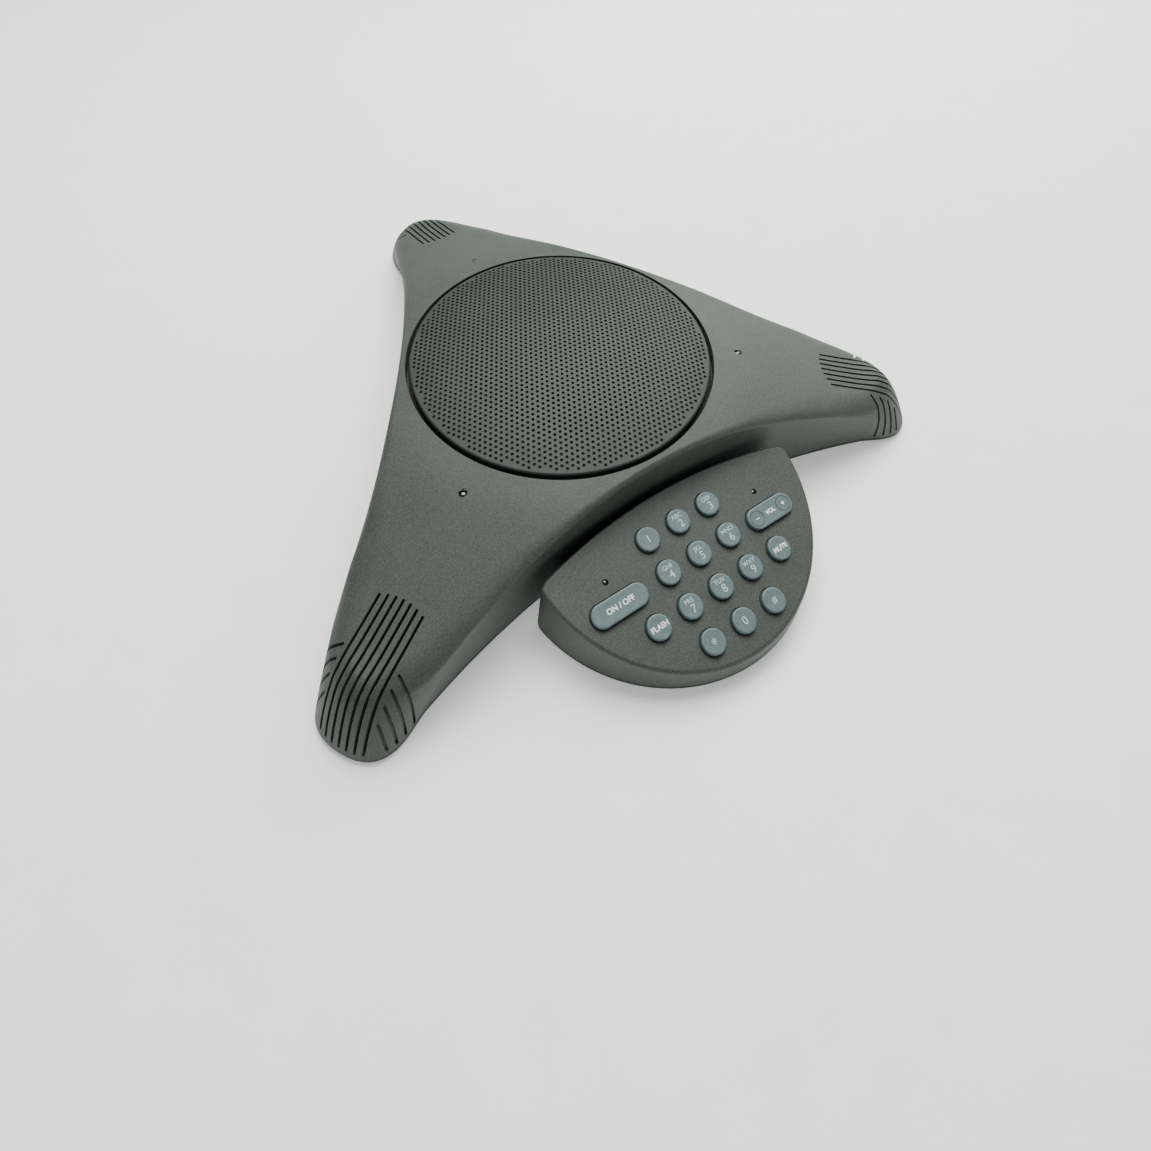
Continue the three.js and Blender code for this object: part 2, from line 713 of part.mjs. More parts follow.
function speakerGrille() {
  const edge = grilleRadius;
  const seat = deckTop + gasketThickness + gap;
  const crown = [0, 40, 66].map((radius) => [radius, domeAt(radius)]);
  const under = crown.map(([radius, height]) => [radius, height - grilleThickness]);
  const disc = turned([
    ...under,
    [edge - grilleThickness, domeAt(edge) - grilleThickness - 0.4], [edge - grilleThickness, seat],
    [edge, seat], [edge, domeAt(edge) - 0.6], [edge - 1.2, domeAt(edge - 1.2)],
    ...crown.reverse(),
  ], 30);
  return cutAll(disc, grilleHoles());
}

addPiece('speaker_grille', toGeometry(speakerGrille()), paintedSteel);

addPiece('grille_gasket', toGeometry(turned([
  [grilleRadius - 3, deckTop + gap], [openingRadius - gap, deckTop + gap],
  [openingRadius - gap, deckTop + gasketThickness], [grilleRadius - 3, deckTop + gasketThickness],
], 24)), rubberBlack);

// Driver: basket, cone, dust cap and magnet, one inside the other
const driver = new THREE.Group();
driver.position.z = deckTop - deckThickness - gap;
phone.add(driver);

function speakerBasket() {
  const basket = turned([
    [52, -1.5], [59, -1.5], [59, 0], [49.5, 0], [46, -5], [24, -20.6], [12, -20.6], [12, -22],
    [25, -22], [47.5, -6.5],
  ], 20);
  const windows = [0, 90, 180, 270].map((angle) => (
    boxBetween([28, -8, -24], [42, 8, -11]).rotate([0, 0, angle])
  ));
  const pinHoles = driverPins.map((place) => upright(place, 1.6, -9, 1, 6));
  return cutAll(basket, [...windows, ...pinHoles]);
}

addPiece('speaker_basket', toGeometry(speakerBasket()), ferrite, driver);
addPiece('speaker_cone', toGeometry(turned([
  [12.5, -17.8], [12.5, -18.8], [40, -8], [43, -5.2], [45.4, -4.6],
  [45.4, -3.8], [42.6, -3.9], [39.4, -6.8],
], 20)), paperCone, driver);
addPiece('speaker_dust_cap', toGeometry(turned([
  [0, -16.8], [12, -16.8], [13, -16.3], [10.5, -13.8], [6, -12.3], [0, -11.7],
], 12)), paperCone, driver);
addPiece('speaker_magnet', toGeometry(turned([
  [0, -31], [14, -31], [14, -29.8], [27, -29.8], [28, -28.8], [28, -23.3], [27, -22.3], [11.4, -22.3],
  [11.4, -19.4], [0, -19.4],
], 16)), ferrite, driver);

// One microphone in a soft boot behind the slots of each arm
const boot = { radius: 8, bore: 5.2, low: floorTop + gap, floor: 8, high: 14.5 };
armAngles.forEach((angle, i) => {
  const [x, y] = polar(angle, microphoneReach);
  const cup = turned([
    [0, boot.low], [boot.radius - 1.5, boot.low], [boot.radius, boot.high],
    [boot.bore, boot.high], [boot.bore, boot.floor], [0, boot.floor],
  ], 12);
  addPiece(`microphone_boot_${armNames[i]}`, toGeometry(cup), rubberBlack).position.set(x, y, 0);
  const capsule = turned([
    [0, boot.floor + gap], [boot.bore - gap, boot.floor + gap], [boot.bore - gap, boot.high + 0.6],
    [boot.bore - 1, boot.high + 1.2], [0, boot.high + 1.2],
  ], 12);
  addPiece(`microphone_${armNames[i]}`, toGeometry(capsule), zincSteel).position.set(x, y, 0);
  const [lampX, lampY] = polar(angle, lampReach);
  const lampTop = faceHeightAt(lampX, lampY) - 0.4;
  const lamp = turned([
    [0, lampTop - 9], [2.4, lampTop - 9], [2.4, lampTop - 4.4], [lampRadius, lampTop - 4.2],
    [lampRadius, lampTop - 0.4], [0, lampTop],
  ], 8);
  addPiece(`status_lamp_${armNames[i]}`, toGeometry(lamp), lampLens).position.set(lampX, lampY, 0);
});

// Main board, on three posts under the driver
function mainBoard() {
  const board = upright([0, 0], 62, mainBoardLow, mainBoardLow + 1.6, 20);
  const holes = boardPosts.map((place) => upright(place, 1.6, 0, 20, 6));
  const tab = boxBetween([-9, 50, mainBoardLow], [9, socket.near - gap, mainBoardLow + 1.6]);
  return cutAll(board.add(tab), holes);
}

addPiece('main_board', toGeometry(mainBoard()), circuitGreen);

// Line socket: its mouth opens into the pocket under the back arm
function lineSocket() {
  const { half, near, far, low, high } = socket;
  const body = boxBetween([-half, near, low], [half, far, high]);
  const mouth = boxBetween([-4.9, near + 3, 6.6], [4.9, far + 1, 13.2]);
  const latchSlot = boxBetween([-2.6, near + 6, 13], [2.6, far + 1, 15]);
  return cutAll(body, [mouth, latchSlot]);
}

addPiece('line_socket', toGeometry(lineSocket()), blackPlastic);

// Flat ribbon from the keypad board to the main board, as a side profile given its width
function keypadRibbon() {
  const path = [[-58, 10], [-66, 10], [-72, 9.4], [-90, 10.2], [-96, 12.4], [-100, 18]];
  const upper = path.map(([y, z]) => new THREE.Vector2(y, z + 0.5));
  const profile = new THREE.Shape([...path.map(([y, z]) => new THREE.Vector2(y, z)), ...upper.reverse()]);
  const ribbon = new THREE.ExtrudeGeometry(profile, { depth: 20, bevelEnabled: false });
  ribbon.rotateX(Math.PI / 2);
  ribbon.rotateZ(Math.PI / 2);
  ribbon.translate(-10, 0, 0);
  return ribbon;
}

addPiece('keypad_ribbon', keypadRibbon(), cableGrey);

phone.add(keyFace);

// The origin goes to the middle of the object's length, at table height
const podFront = podBaseCentreY - podBaseRadius;
const group = new THREE.Group();
phone.position.y = -(baseEdge.tip + podFront) / 2;
group.add(phone);

export default group;
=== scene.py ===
# Conference speakerphone: the looks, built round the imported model.
# Metres, +Z up, keypad towards -Y. Sizes are written in millimetres from the speaker's axis.
import json
import math
import bpy
import bmesh
from mathutils import Matrix, Vector
from mathutils.geometry import interpolate_bezier


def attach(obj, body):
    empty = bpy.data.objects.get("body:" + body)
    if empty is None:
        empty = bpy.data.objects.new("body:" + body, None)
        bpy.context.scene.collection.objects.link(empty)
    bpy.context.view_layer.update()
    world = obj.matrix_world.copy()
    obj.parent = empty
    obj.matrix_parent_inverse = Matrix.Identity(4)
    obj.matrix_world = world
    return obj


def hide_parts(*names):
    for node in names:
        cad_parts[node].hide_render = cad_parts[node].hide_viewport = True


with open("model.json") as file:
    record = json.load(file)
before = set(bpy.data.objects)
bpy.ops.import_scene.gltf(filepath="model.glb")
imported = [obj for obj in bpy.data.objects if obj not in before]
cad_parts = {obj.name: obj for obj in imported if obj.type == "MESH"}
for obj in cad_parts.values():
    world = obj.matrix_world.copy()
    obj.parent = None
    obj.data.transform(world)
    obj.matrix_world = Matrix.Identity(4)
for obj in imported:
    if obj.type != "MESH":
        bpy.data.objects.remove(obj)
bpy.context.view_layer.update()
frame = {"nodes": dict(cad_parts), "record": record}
print("frame loaded,", len(frame["nodes"]), "nodes")

scene = bpy.context.scene
layout = {
    "axisY": -17.5,           # where the speaker's axis stands in the frame
    "ringHeight": 60.0,       # groove round the grille, above the table
    "openingRadius": 82.2,
    "deckTop": 52.5,
    "seam": 3.3,              # lower edge of the upper mouldings
    "armAngles": (90, 210, 330),
    "armNames": ("back", "left", "right"),
}


# camera, solved from the grille's circle, the three arms and the key grid
cameraView = {
    "azimuth": -33.0, "elevation": 45.88, "roll": 0.39,
    "distance": 406.1,        # from the middle of the groove's circle
    "focal": 757.1,           # pixels of an image 1151 across
    "centre": (559.7, 351.6), # where the optical axis meets that image
    "image": 1151.0,
}


def makeCamera():
    a, e, r = (math.radians(cameraView[k]) for k in ("azimuth", "elevation", "roll"))
    back = Vector((math.sin(a) * math.cos(e), -math.cos(a) * math.cos(e), math.sin(e)))
    right = (-back).cross(Vector((0, 0, 1))).normalized()
    up = back.cross(right)
    turnedRight = right * math.cos(r) + up * math.sin(r)
    turnedUp = up * math.cos(r) - right * math.sin(r)
    target = Vector((0, layout["axisY"], layout["ringHeight"])) * 0.001
    data = bpy.data.cameras.new("camera")
    data.sensor_width = 36
    data.lens = 36 * cameraView["focal"] / cameraView["image"]
    data.shift_x = 0.5 - cameraView["centre"][0] / cameraView["image"]
    data.shift_y = cameraView["centre"][1] / cameraView["image"] - 0.5
    data.clip_start = 0.02
    camera = bpy.data.objects.new("camera", data)
    turn = Matrix((turnedRight, turnedUp, back)).transposed().to_4x4()
    place = target + back * cameraView["distance"] * 0.001
    camera.matrix_world = Matrix.Translation(place) @ turn
    scene.collection.objects.link(camera)
    scene.camera = camera


makeCamera()
print("camera set")


def linear(hexColour):
    # an sRGB colour as #rrggbb, in linear light
    channels = [int(hexColour[i:i + 2], 16) / 255 for i in (1, 3, 5)]
    return tuple(c / 12.92 if c <= 0.04045 else ((c + 0.055) / 1.055) ** 2.4
                 for c in channels) + (1.0,)


def addNode(material, kind, settings=None, **inputs):
    # keyword names are socket names with spaces left out; a socket as value is linked
    node = material.node_tree.nodes.new(kind)
    for key, value in (settings or {}).items():
        setattr(node, key, value)
    for key, value in inputs.items():
        socket = next(s for s in node.inputs if s.name.replace(" ", "") == key and s.enabled)
        if isinstance(value, bpy.types.NodeSocket):
            material.node_tree.links.new(value, socket)
        else:
            socket.default_value = value
    return node


def newMaterial(name):
    material = bpy.data.materials.new(name)
    material.use_nodes = True
    shader = material.node_tree.nodes["Principled BSDF"]
    return material, shader


def connect(material, source, shader, socketName):
    material.node_tree.links.new(source, shader.inputs[socketName])


def addNoise(material, size, detail, **inputs):
    # unevenness of a size in millimetres, laid out in the object's own space
    place = addNode(material, "ShaderNodeTexCoord").outputs["Object"]
    noise = addNode(material, "ShaderNodeTexNoise", Vector=place, Scale=1000 / size, Detail=detail,
                    **inputs)
    return noise.outputs["Fac"]


def addTone(material, shader, factor, tones):
    # the base colour runs between two tones, each with its place on the factor
    ramp = addNode(material, "ShaderNodeValToRGB", Fac=factor)
    for element, (place, colour) in zip(ramp.color_ramp.elements, tones):
        element.position = place
        element.color = linear(colour)
    connect(material, ramp.outputs["Color"], shader, "Base Color")


def addGloss(material, shader, factor, ends, **inputs):
    smooth, rough = ends
    gloss = addNode(material, "ShaderNodeMapRange", Value=factor, ToMin=smooth, ToMax=rough,
                    **inputs)
    connect(material, gloss.outputs["Result"], shader, "Roughness")


def addBump(material, shader, height, strength, relief):
    # relief in millimetres
    bump = addNode(material, "ShaderNodeBump", Height=height, Strength=strength,
                   Distance=relief * 0.001)
    connect(material, bump.outputs["Normal"], shader, "Normal")


# moulded ABS with a spark-eroded texture: a dull, finely grained charcoal
charcoalAbs = {
    "tones": ((0.5, "#2d342f"), (0.84, "#444b46")),
    "grain": 0.9,             # mm between grains; the real 0.2 mm grain is too fine to show
    "cloud": 38.0,            # mm, slow drift of tone from handling
    "cloudShare": 0.35,       # of that drift in the tone
    "roughness": (0.5, 0.66), "relief": 0.12,
}


def makeCharcoalAbs():
    material, shader = newMaterial("charcoalAbs")
    grain = addNoise(material, charcoalAbs["grain"], 3.0, Roughness=0.65)
    cloud = addNoise(material, charcoalAbs["cloud"], 4.0, Roughness=0.6)
    mixed = addNode(material, "ShaderNodeMath", {"operation": "MULTIPLY_ADD"})
    material.node_tree.links.new(cloud, mixed.inputs[0])
    mixed.inputs[1].default_value = charcoalAbs["cloudShare"]
    material.node_tree.links.new(grain, mixed.inputs[2])
    addTone(material, shader, mixed.outputs[0], charcoalAbs["tones"])
    addGloss(material, shader, cloud, charcoalAbs["roughness"], FromMin=0.3, FromMax=0.7)
    addBump(material, shader, grain, 0.5, charcoalAbs["relief"])
    shader.inputs["IOR"].default_value = 1.53
    return material


# moulded ABS in black, for the floor of the case, the cable well and the line socket
blackAbs = {
    "tones": ((0.35, "#191b1a"), (0.7, "#232625")),
    "grain": 0.8, "roughness": 0.6, "relief": 0.1,
}


def makeBlackAbs():
    material, shader = newMaterial("blackAbs")
    grain = addNoise(material, blackAbs["grain"], 3.0)
    addTone(material, shader, grain, blackAbs["tones"])
    addBump(material, shader, grain, 0.4, blackAbs["relief"])
    shader.inputs["Roughness"].default_value = blackAbs["roughness"]
    shader.inputs["IOR"].default_value = 1.53
    return material


# moulded PBT key caps: smooth satin, faintly mottled, a little shinier where fingers polish them
keyPbt = {
    "tones": ((0.35, "#536467"), (0.68, "#5f7174")),
    "mottle": 1.6, "polish": 5.0,             # mm across the mottles and the polished patches
    "roughness": (0.36, 0.52),
}


def makeKeyPbt():
    material, shader = newMaterial("keyPbt")
    addTone(material, shader, addNoise(material, keyPbt["mottle"], 3.0), keyPbt["tones"])
    addGloss(material, shader, addNoise(material, keyPbt["polish"], 2.0), keyPbt["roughness"])
    shader.inputs["IOR"].default_value = 1.55
    return material


# pad-printed legend ink: two greys, slightly uneven as thin ink is
legendInk = {
    "pale": ((0.35, "#aebfbf"), (0.65, "#bccaca")),
    "bright": ((0.35, "#dfe5e2"), (0.65, "#eef1ef")),
    "blotch": 0.7,
}


def makeLegendInk(shade):
    material, shader = newMaterial("legendInk" + shade.capitalize())
    addTone(material, shader, addNoise(material, legendInk["blotch"], 2.0), legendInk[shade])
    shader.inputs["Roughness"].default_value = 0.5
    return material


# cold-rolled steel sheet, perforated and then painted: satin paint with a light orange peel
grillePaint = {
    "tones": ((0.3, "#1e2520"), (0.7, "#262d28")),
    "cloud": 30.0, "peel": 1.2,               # mm across the clouds of tone and the peel's bumps
    "roughness": 0.6, "relief": 0.1,
}


def makeGrillePaint():
    material, shader = newMaterial("grillePaint")
    cloud = addNoise(material, grillePaint["cloud"], 4.0)
    peel = addNoise(material, grillePaint["peel"], 2.0)
    addTone(material, shader, cloud, grillePaint["tones"])
    addBump(material, shader, peel, 0.25, grillePaint["relief"])
    shader.inputs["Roughness"].default_value = grillePaint["roughness"]
    shader.inputs["IOR"].default_value = 1.5
    return material


# plain finishes of the inner pieces and small parts, each with its own fine unevenness
# name: record slot it serves, dark and light tone, mm scale, roughness, metallic, relief
plainFinishes = {
    "siliconeSheet": ("silicone", "#80827f", "#959793", 2.0, 0.7, 0.0, 0.05),
    "footRubber": ("black_rubber", "#101010", "#1d1d1c", 0.9, 0.82, 0.0, 0.12),
    "zincPlate": ("zinc_steel", "#7d8184", "#909497", 0.6, 0.42, 1.0, 0.02),
    "blackSteel": ("black_steel", "#1f2022", "#313235", 1.5, 0.42, 0.6, 0.03),
    "conePulp": ("cone_paper", "#1b1917", "#2b2825", 0.7, 0.9, 0.0, 0.15),
    "solderMask": ("circuit_board", "#1a5230", "#22643b", 3.0, 0.35, 0.0, 0.02),
    "ribbonFilm": ("ribbon_plastic", "#b0b3b4", "#c3c5c6", 1.3, 0.4, 0.0, 0.04),
}


def makePlainFinish(name):
    slot, dark, light, size, roughness, metallic, relief = plainFinishes[name]
    material, shader = newMaterial(name)
    fleck = addNoise(material, size, 3.0)
    addTone(material, shader, fleck, ((0.35, dark), (0.65, light)))
    addBump(material, shader, fleck, 0.5, relief)
    shader.inputs["Roughness"].default_value = roughness
    shader.inputs["Metallic"].default_value = metallic
    return material


# smoked polycarbonate lens: nearly black and polished
lampSmoke = {
    "tones": ((0.3, "#0b0d0c"), (0.7, "#151a17")),
    "depth": 1.1111, "roughness": 0.06, "coat": 0.6,
}


def makeLampLens():
    material, shader = newMaterial("lampLens")
    addTone(material, shader, addNoise(material, lampSmoke["depth"], 1.0), lampSmoke["tones"])
    shader.inputs["Roughness"].default_value = lampSmoke["roughness"]
    shader.inputs["IOR"].default_value = 1.58
    shader.inputs["Coat Weight"].default_value = lampSmoke["coat"]
    return material


finishes = {
    "charcoal_abs": makeCharcoalAbs(),
    "black_abs": makeBlackAbs(),
    "key_plastic": makeKeyPbt(),
    "painted_steel": makeGrillePaint(),
    "lamp_lens": makeLampLens(),
}
for finishName in plainFinishes:
    finishes[plainFinishes[finishName][0]] = makePlainFinish(finishName)
legendInks = {shade: makeLegendInk(shade) for shade in ("pale", "bright")}

slotOfNode = {part["node"]: part["material_slot"] for part in frame["record"]["subparts"]}
for nodeName, node in frame["nodes"].items():
    node.data.materials.clear()
    node.data.materials.append(finishes[slotOfNode[nodeName]])
print("materials made,", len(finishes), "finishes")


def inFrame(point):
    # millimetres from the speaker's axis to metres in the frame
    x, y, z = point
    return Vector((x, y + layout["axisY"], z)) * 0.001


def polar(angle, reach):
    return reach * math.cos(math.radians(angle)), reach * math.sin(math.radians(angle))


def startLoop(bm, points):
    made = bmesh.ops.create_circle(bm, cap_ends=False, segments=len(points), radius=1)
    for vert, point in zip(made["verts"], points):
        vert.co = point
    edges = set()
    for vert in made["verts"]:
        edges.update(vert.link_edges)
    return made["verts"], list(edges)


def nextLoop(bm, verts, edges, points):
    # extrudes a loop and moves each new vertex to its own target
    grown = bmesh.ops.extrude_edge_only(bm, edges=edges)["geom"]
    fresh = {g for g in grown if isinstance(g, bmesh.types.BMVert)}
    newEdges = [g for g in grown if isinstance(g, bmesh.types.BMEdge)
                and g.verts[0] in fresh and g.verts[1] in fresh]
    newVerts = []
    for vert, point in zip(verts, points):
        follower = next(e.other_vert(vert) for e in vert.link_edges if e.other_vert(vert) in fresh)
        follower.co = point
        newVerts.append(follower)
    return newVerts, newEdges


def stackLoops(bm, loops, capStart=False, capEnd=False, ringed=False):
    firstVerts, firstEdges = startLoop(bm, loops[0])
    verts, edges = firstVerts, firstEdges
    for points in loops[1:]:
        verts, edges = nextLoop(bm, verts, edges, points)
    if ringed:
        bmesh.ops.bridge_loops(bm, edges=edges + firstEdges)
    if capStart:
        bmesh.ops.contextual_create(bm, geom=firstEdges)
    if capEnd:
        bmesh.ops.contextual_create(bm, geom=edges)


def spinProfile(bm, profile, steps, closed=False):
    # turns [radius, height] points about the Z axis
    verts = [bm.verts.new((radius, 0, height)) for radius, height in profile]
    pairs = list(zip(verts, verts[1:])) + ([(verts[-1], verts[0])] if closed else [])
    edges = [bm.edges.new(pair) for pair in pairs]
    bmesh.ops.spin(bm, geom=verts + edges, cent=(0, 0, 0), axis=(0, 0, 1), dvec=(0, 0, 0),
                   angle=math.tau, steps=steps, use_merge=True, use_normal_flip=False,
                   use_duplicate=False)
    bmesh.ops.remove_doubles(bm, verts=bm.verts, dist=1e-4)


def circlePoints(radius, count=48):
    # the first point stands half a step round, so that no point lies on x = 0
    angles = [math.tau * i / count + math.pi / count for i in range(count)]
    return [(radius * math.cos(a), radius * math.sin(a)) for a in angles]


def pillPoints(length, radius):
    reach = length / 2 - radius
    return [(x + math.copysign(reach, x), y) for x, y in circlePoints(radius)]


sharpFrom = 32                # degrees between faces; flatter edges are shaded smooth


def finishPiece(bm, name, body, materials, node):
    # hands a finished mesh to its body in place of the solid's node
    mesh = bpy.data.meshes.new(name)
    bm.to_mesh(mesh)
    bm.free()
    for material in materials:
        mesh.materials.append(material)
    mesh.polygons.foreach_set("use_smooth", [True] * len(mesh.polygons))
    mesh.set_sharp_from_angle(angle=math.radians(sharpFrom))
    piece = bpy.data.objects.new(name, mesh)
    scene.collection.objects.link(piece)
    even = piece.modifiers.new("evenShading", "WEIGHTED_NORMAL")
    even.keep_sharp = True
    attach(piece, body)
    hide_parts(node)


def cutBy(bm, cutter):
    # subtracts one closed bmesh from another and hands back the result as a new bmesh
    holders = []
    for label, source in (("cutWhole", bm), ("cutTool", cutter)):
        bmesh.ops.recalc_face_normals(source, faces=source.faces)
        mesh = bpy.data.meshes.new(label)
        source.to_mesh(mesh)
        source.free()
        holder = bpy.data.objects.new(label, mesh)
        scene.collection.objects.link(holder)
        holders.append(holder)
    whole, tool = holders
    boolean = whole.modifiers.new("cut", "BOOLEAN")
    boolean.operation = "DIFFERENCE"
    boolean.solver = "MANIFOLD"
    boolean.object = tool
    evaluated = whole.evaluated_get(bpy.context.evaluated_depsgraph_get())
    result = bmesh.new()
    result.from_mesh(evaluated.to_mesh())
    evaluated.to_mesh_clear()
    for holder in holders:
        mesh = holder.data
        bpy.data.objects.remove(holder)
        bpy.data.meshes.remove(mesh)
    return result


def joinInto(bm, extra):
    # adds one closed bmesh to another, with its faces turned outwards
    bmesh.ops.recalc_face_normals(extra, faces=extra.faces)
    mesh = bpy.data.meshes.new("joined")
    extra.to_mesh(mesh)
    extra.free()
    bm.from_mesh(mesh)
    bpy.data.meshes.remove(mesh)


def addCube(bm, low, high):
    # a box between two corners, left in millimetres
    verts = bmesh.ops.create_cube(bm, size=1)["verts"]
    for vert in verts:
        vert.co = Vector(((c + 0.5) * (h - l) + l for c, l, h in zip(vert.co, low, high)))
    return verts


def addBox(bm, low, high, turn=Matrix.Identity(4)):
    # the same box turned, then put in the frame
    verts = addCube(bm, low, high)
    for vert in verts:
        vert.co = inFrame(turn @ vert.co)
    return verts


def addPost(bm, place, radius, low, high, sides=24):
    # an upright bar whose axis goes through a place
    points = [(x + place[0], y + place[1]) for x, y in circlePoints(radius, sides)]
    stackLoops(bm, [[inFrame((x, y, z)) for x, y in points] for z in (low, high)],
               capStart=True, capEnd=True)


consoleShape = {
    # the sides' nearest reach, radius and end, then the nose's lead-in, half width and tip
    "topEdge": {"sideMid": 86.0, "sideRadius": 383.0, "sideEnd": 97.0,
                "lead": 14.5, "tipHalf": 13.5, "tip": 183.0},
    "baseEdge": {"sideMid": 82.9, "sideRadius": 416.0, "sideEnd": 138.0,
                 "lead": 9.0, "tipHalf": 27.0, "tip": 204.0},
    "sideSteps": 20, "noseSteps": 18,
    "edgeRounding": 2.4,      # width of the rounding where the upper face turns into the wall
    "besideOpening": 0.45,    # of the ledge beside the grille, where the sides come nearest to it,
    "besideGrowth": 0.1,      # and more per mm away from there
    "armRounding": 9.0,       # how much wider it grows along the arms' sides
    "growFrom": 90.0, "growOver": 55.0,       # reaches over which it grows
    "ridge": 4.0, "ridgeOver": 13.0,          # and distances from the arm's middle line
    "fadeFrom": 150.0, "fadeOver": 26.0, "fadeShare": 0.75,     # over which most of it goes
    "turnDepth": 3.2, "turnGrowth": 0.7,      # how far down it ends, and more per mm of width
    "noseRoundness": 0.45, "noseFlare": 20.0,
    "skin": 2.5,
    "fall": ((81, 0), (97, 4.2), (122, 12.2), (147, 19.9), (160, 23.5), (175, 27), (190, 28.6)),
    "faceShares": [i / 16 for i in range(16)],
    "cornerShares": (0, 0.2, 0.4, 0.6, 0.8),
    "wallShares": (0, 0.06, 0.13, 0.22, 0.32, 0.43, 0.55, 0.7, 0.85, 1),
    "ribbonGap": ((-12, -95, 3), (12, -60, 12)),
    "neckGap": ((-50.3, -95, 3), (50.3, -60, 5.3)),
    "cableGap": ((20, 112.7, 3), (50, 124.3, 11.3)),
    "deckRadii": (52.0, 84.0), "deckThickness": 2.0, "seatDrop": 3.0,
    "bossReach": 141.0, "bossRadius": 4.0, "bossLow": 8.3, "bossCover": 2.4,
    "lampReach": 97.3, "lampHole": 2.1, "lampCut": (44.0, 66.0),
}
slotShape = {
    "start": 147.2, "arc": 55.0,              # the long slots begin on an arc
    "count": 7, "pitch": 3.8, "width": 1.3, "floor": 5.5,
    "sideReaches": (173.2, 178.8, 184.1, 189.3), "sideTop": 31.0, "sideHalf": 14.1,
    "sideLean": 6.0, "sideTurn": 25.0,        # degrees, the lower and the outer end nearer the tip
    "sideLength": 28.0, "sideAbove": 12.0, "sideDepth": 1.4,
}


def halfArm(edge):
    # from the middle of a concave side to the arm's tip, with the arm along X
    cos, sin = polar(60, 1)

    def onSide(across):
        radius = edge["sideRadius"]
        out = edge["sideMid"] + radius - math.sqrt(radius ** 2 - across ** 2)
        return Vector((across * sin + out * cos, out * sin - across * cos))

    sideEnd = onSide(edge["sideEnd"])
    along = (sideEnd - onSide(edge["sideEnd"] - 1)).normalized() * edge["lead"]
    steps = consoleShape["sideSteps"]
    points = [onSide(edge["sideEnd"] * step / steps) for step in range(steps)]
    nose = interpolate_bezier(sideEnd.to_3d(), (sideEnd + along).to_3d(),
                              Vector((edge["tip"], edge["tipHalf"], 0)),
                              Vector((edge["tip"], 0, 0)), consoleShape["noseSteps"] + 1)
    return points + [point.to_2d() for point in nose]


def consoleOutline(edge):
    half = halfArm(edge)
    outline = []
    for angle in layout["armAngles"]:
        cos, sin = polar(angle, 1)
        mirrored = [Vector((p.x, -p.y)) for p in half] + half[1:-1][::-1]
        outline += [Vector((p.x * cos - p.y * sin, p.x * sin + p.y * cos)) for p in mirrored]
    return outline


def insetEach(outline, distances):
    # moves each point of an outline inwards by its own distance
    moved = []
    for i, (point, distance) in enumerate(zip(outline, distances)):
        along = outline[(i + 1) % len(outline)] - outline[i - 1]
        moved.append(point + Vector((-along.y, along.x)).normalized() * distance)
    return moved


def inset(outline, distance):
    return insetEach(outline, [distance] * len(outline))


def fallAt(reach):
    # the same rounded fall as the solid's: a Catmull-Rom curve through the measured points
    points = consoleShape["fall"]
    if reach <= points[0][0]:
        return 0.0
    for i in range(len(points) - 1):
        if reach <= points[i + 1][0]:
            before, near = points[max(i - 1, 0)], points[i]
            far, after = points[i + 1], points[min(i + 2, len(points) - 1)]
            t = (reach - near[0]) / (far[0] - near[0])
            slopeIn = (far[1] - before[1]) / (far[0] - before[0]) * (far[0] - near[0])
            slopeOut = (after[1] - near[1]) / (after[0] - near[0]) * (far[0] - near[0])
            return ((2 * t ** 3 - 3 * t ** 2 + 1) * near[1] + (t ** 3 - 2 * t ** 2 + t) * slopeIn
                    + (3 * t ** 2 - 2 * t ** 3) * far[1] + (t ** 3 - t ** 2) * slopeOut)
    return points[-1][1]


def faceHeight(x, y):
    return layout["ringHeight"] - fallAt(math.hypot(x, y))


def distanceFromArm(x, y):
    # from the middle line of the nearest arm
    distances = []
    for angle in layout["armAngles"]:
        cos, sin = polar(angle, 1)
        if x * cos + y * sin > 0:
            distances.append(abs(y * cos - x * sin))
    return min(distances)


def clamp(value):
    return max(0.0, min(1.0, value))


def eased(value):
    # 0 to 1 with a soft start and end
    value = clamp(value)
    return value * value * (3 - 2 * value)


def armRoundingAt(spot):
    shape = consoleShape
    grown = eased((spot.length - shape["growFrom"]) / shape["growOver"])
    beside = eased((distanceFromArm(*spot) - shape["ridge"]) / shape["ridgeOver"])
    faded = shape["fadeShare"] * eased((spot.length - shape["fadeFrom"]) / shape["fadeOver"])
    return shape["armRounding"] * grown * beside * (1 - faded)


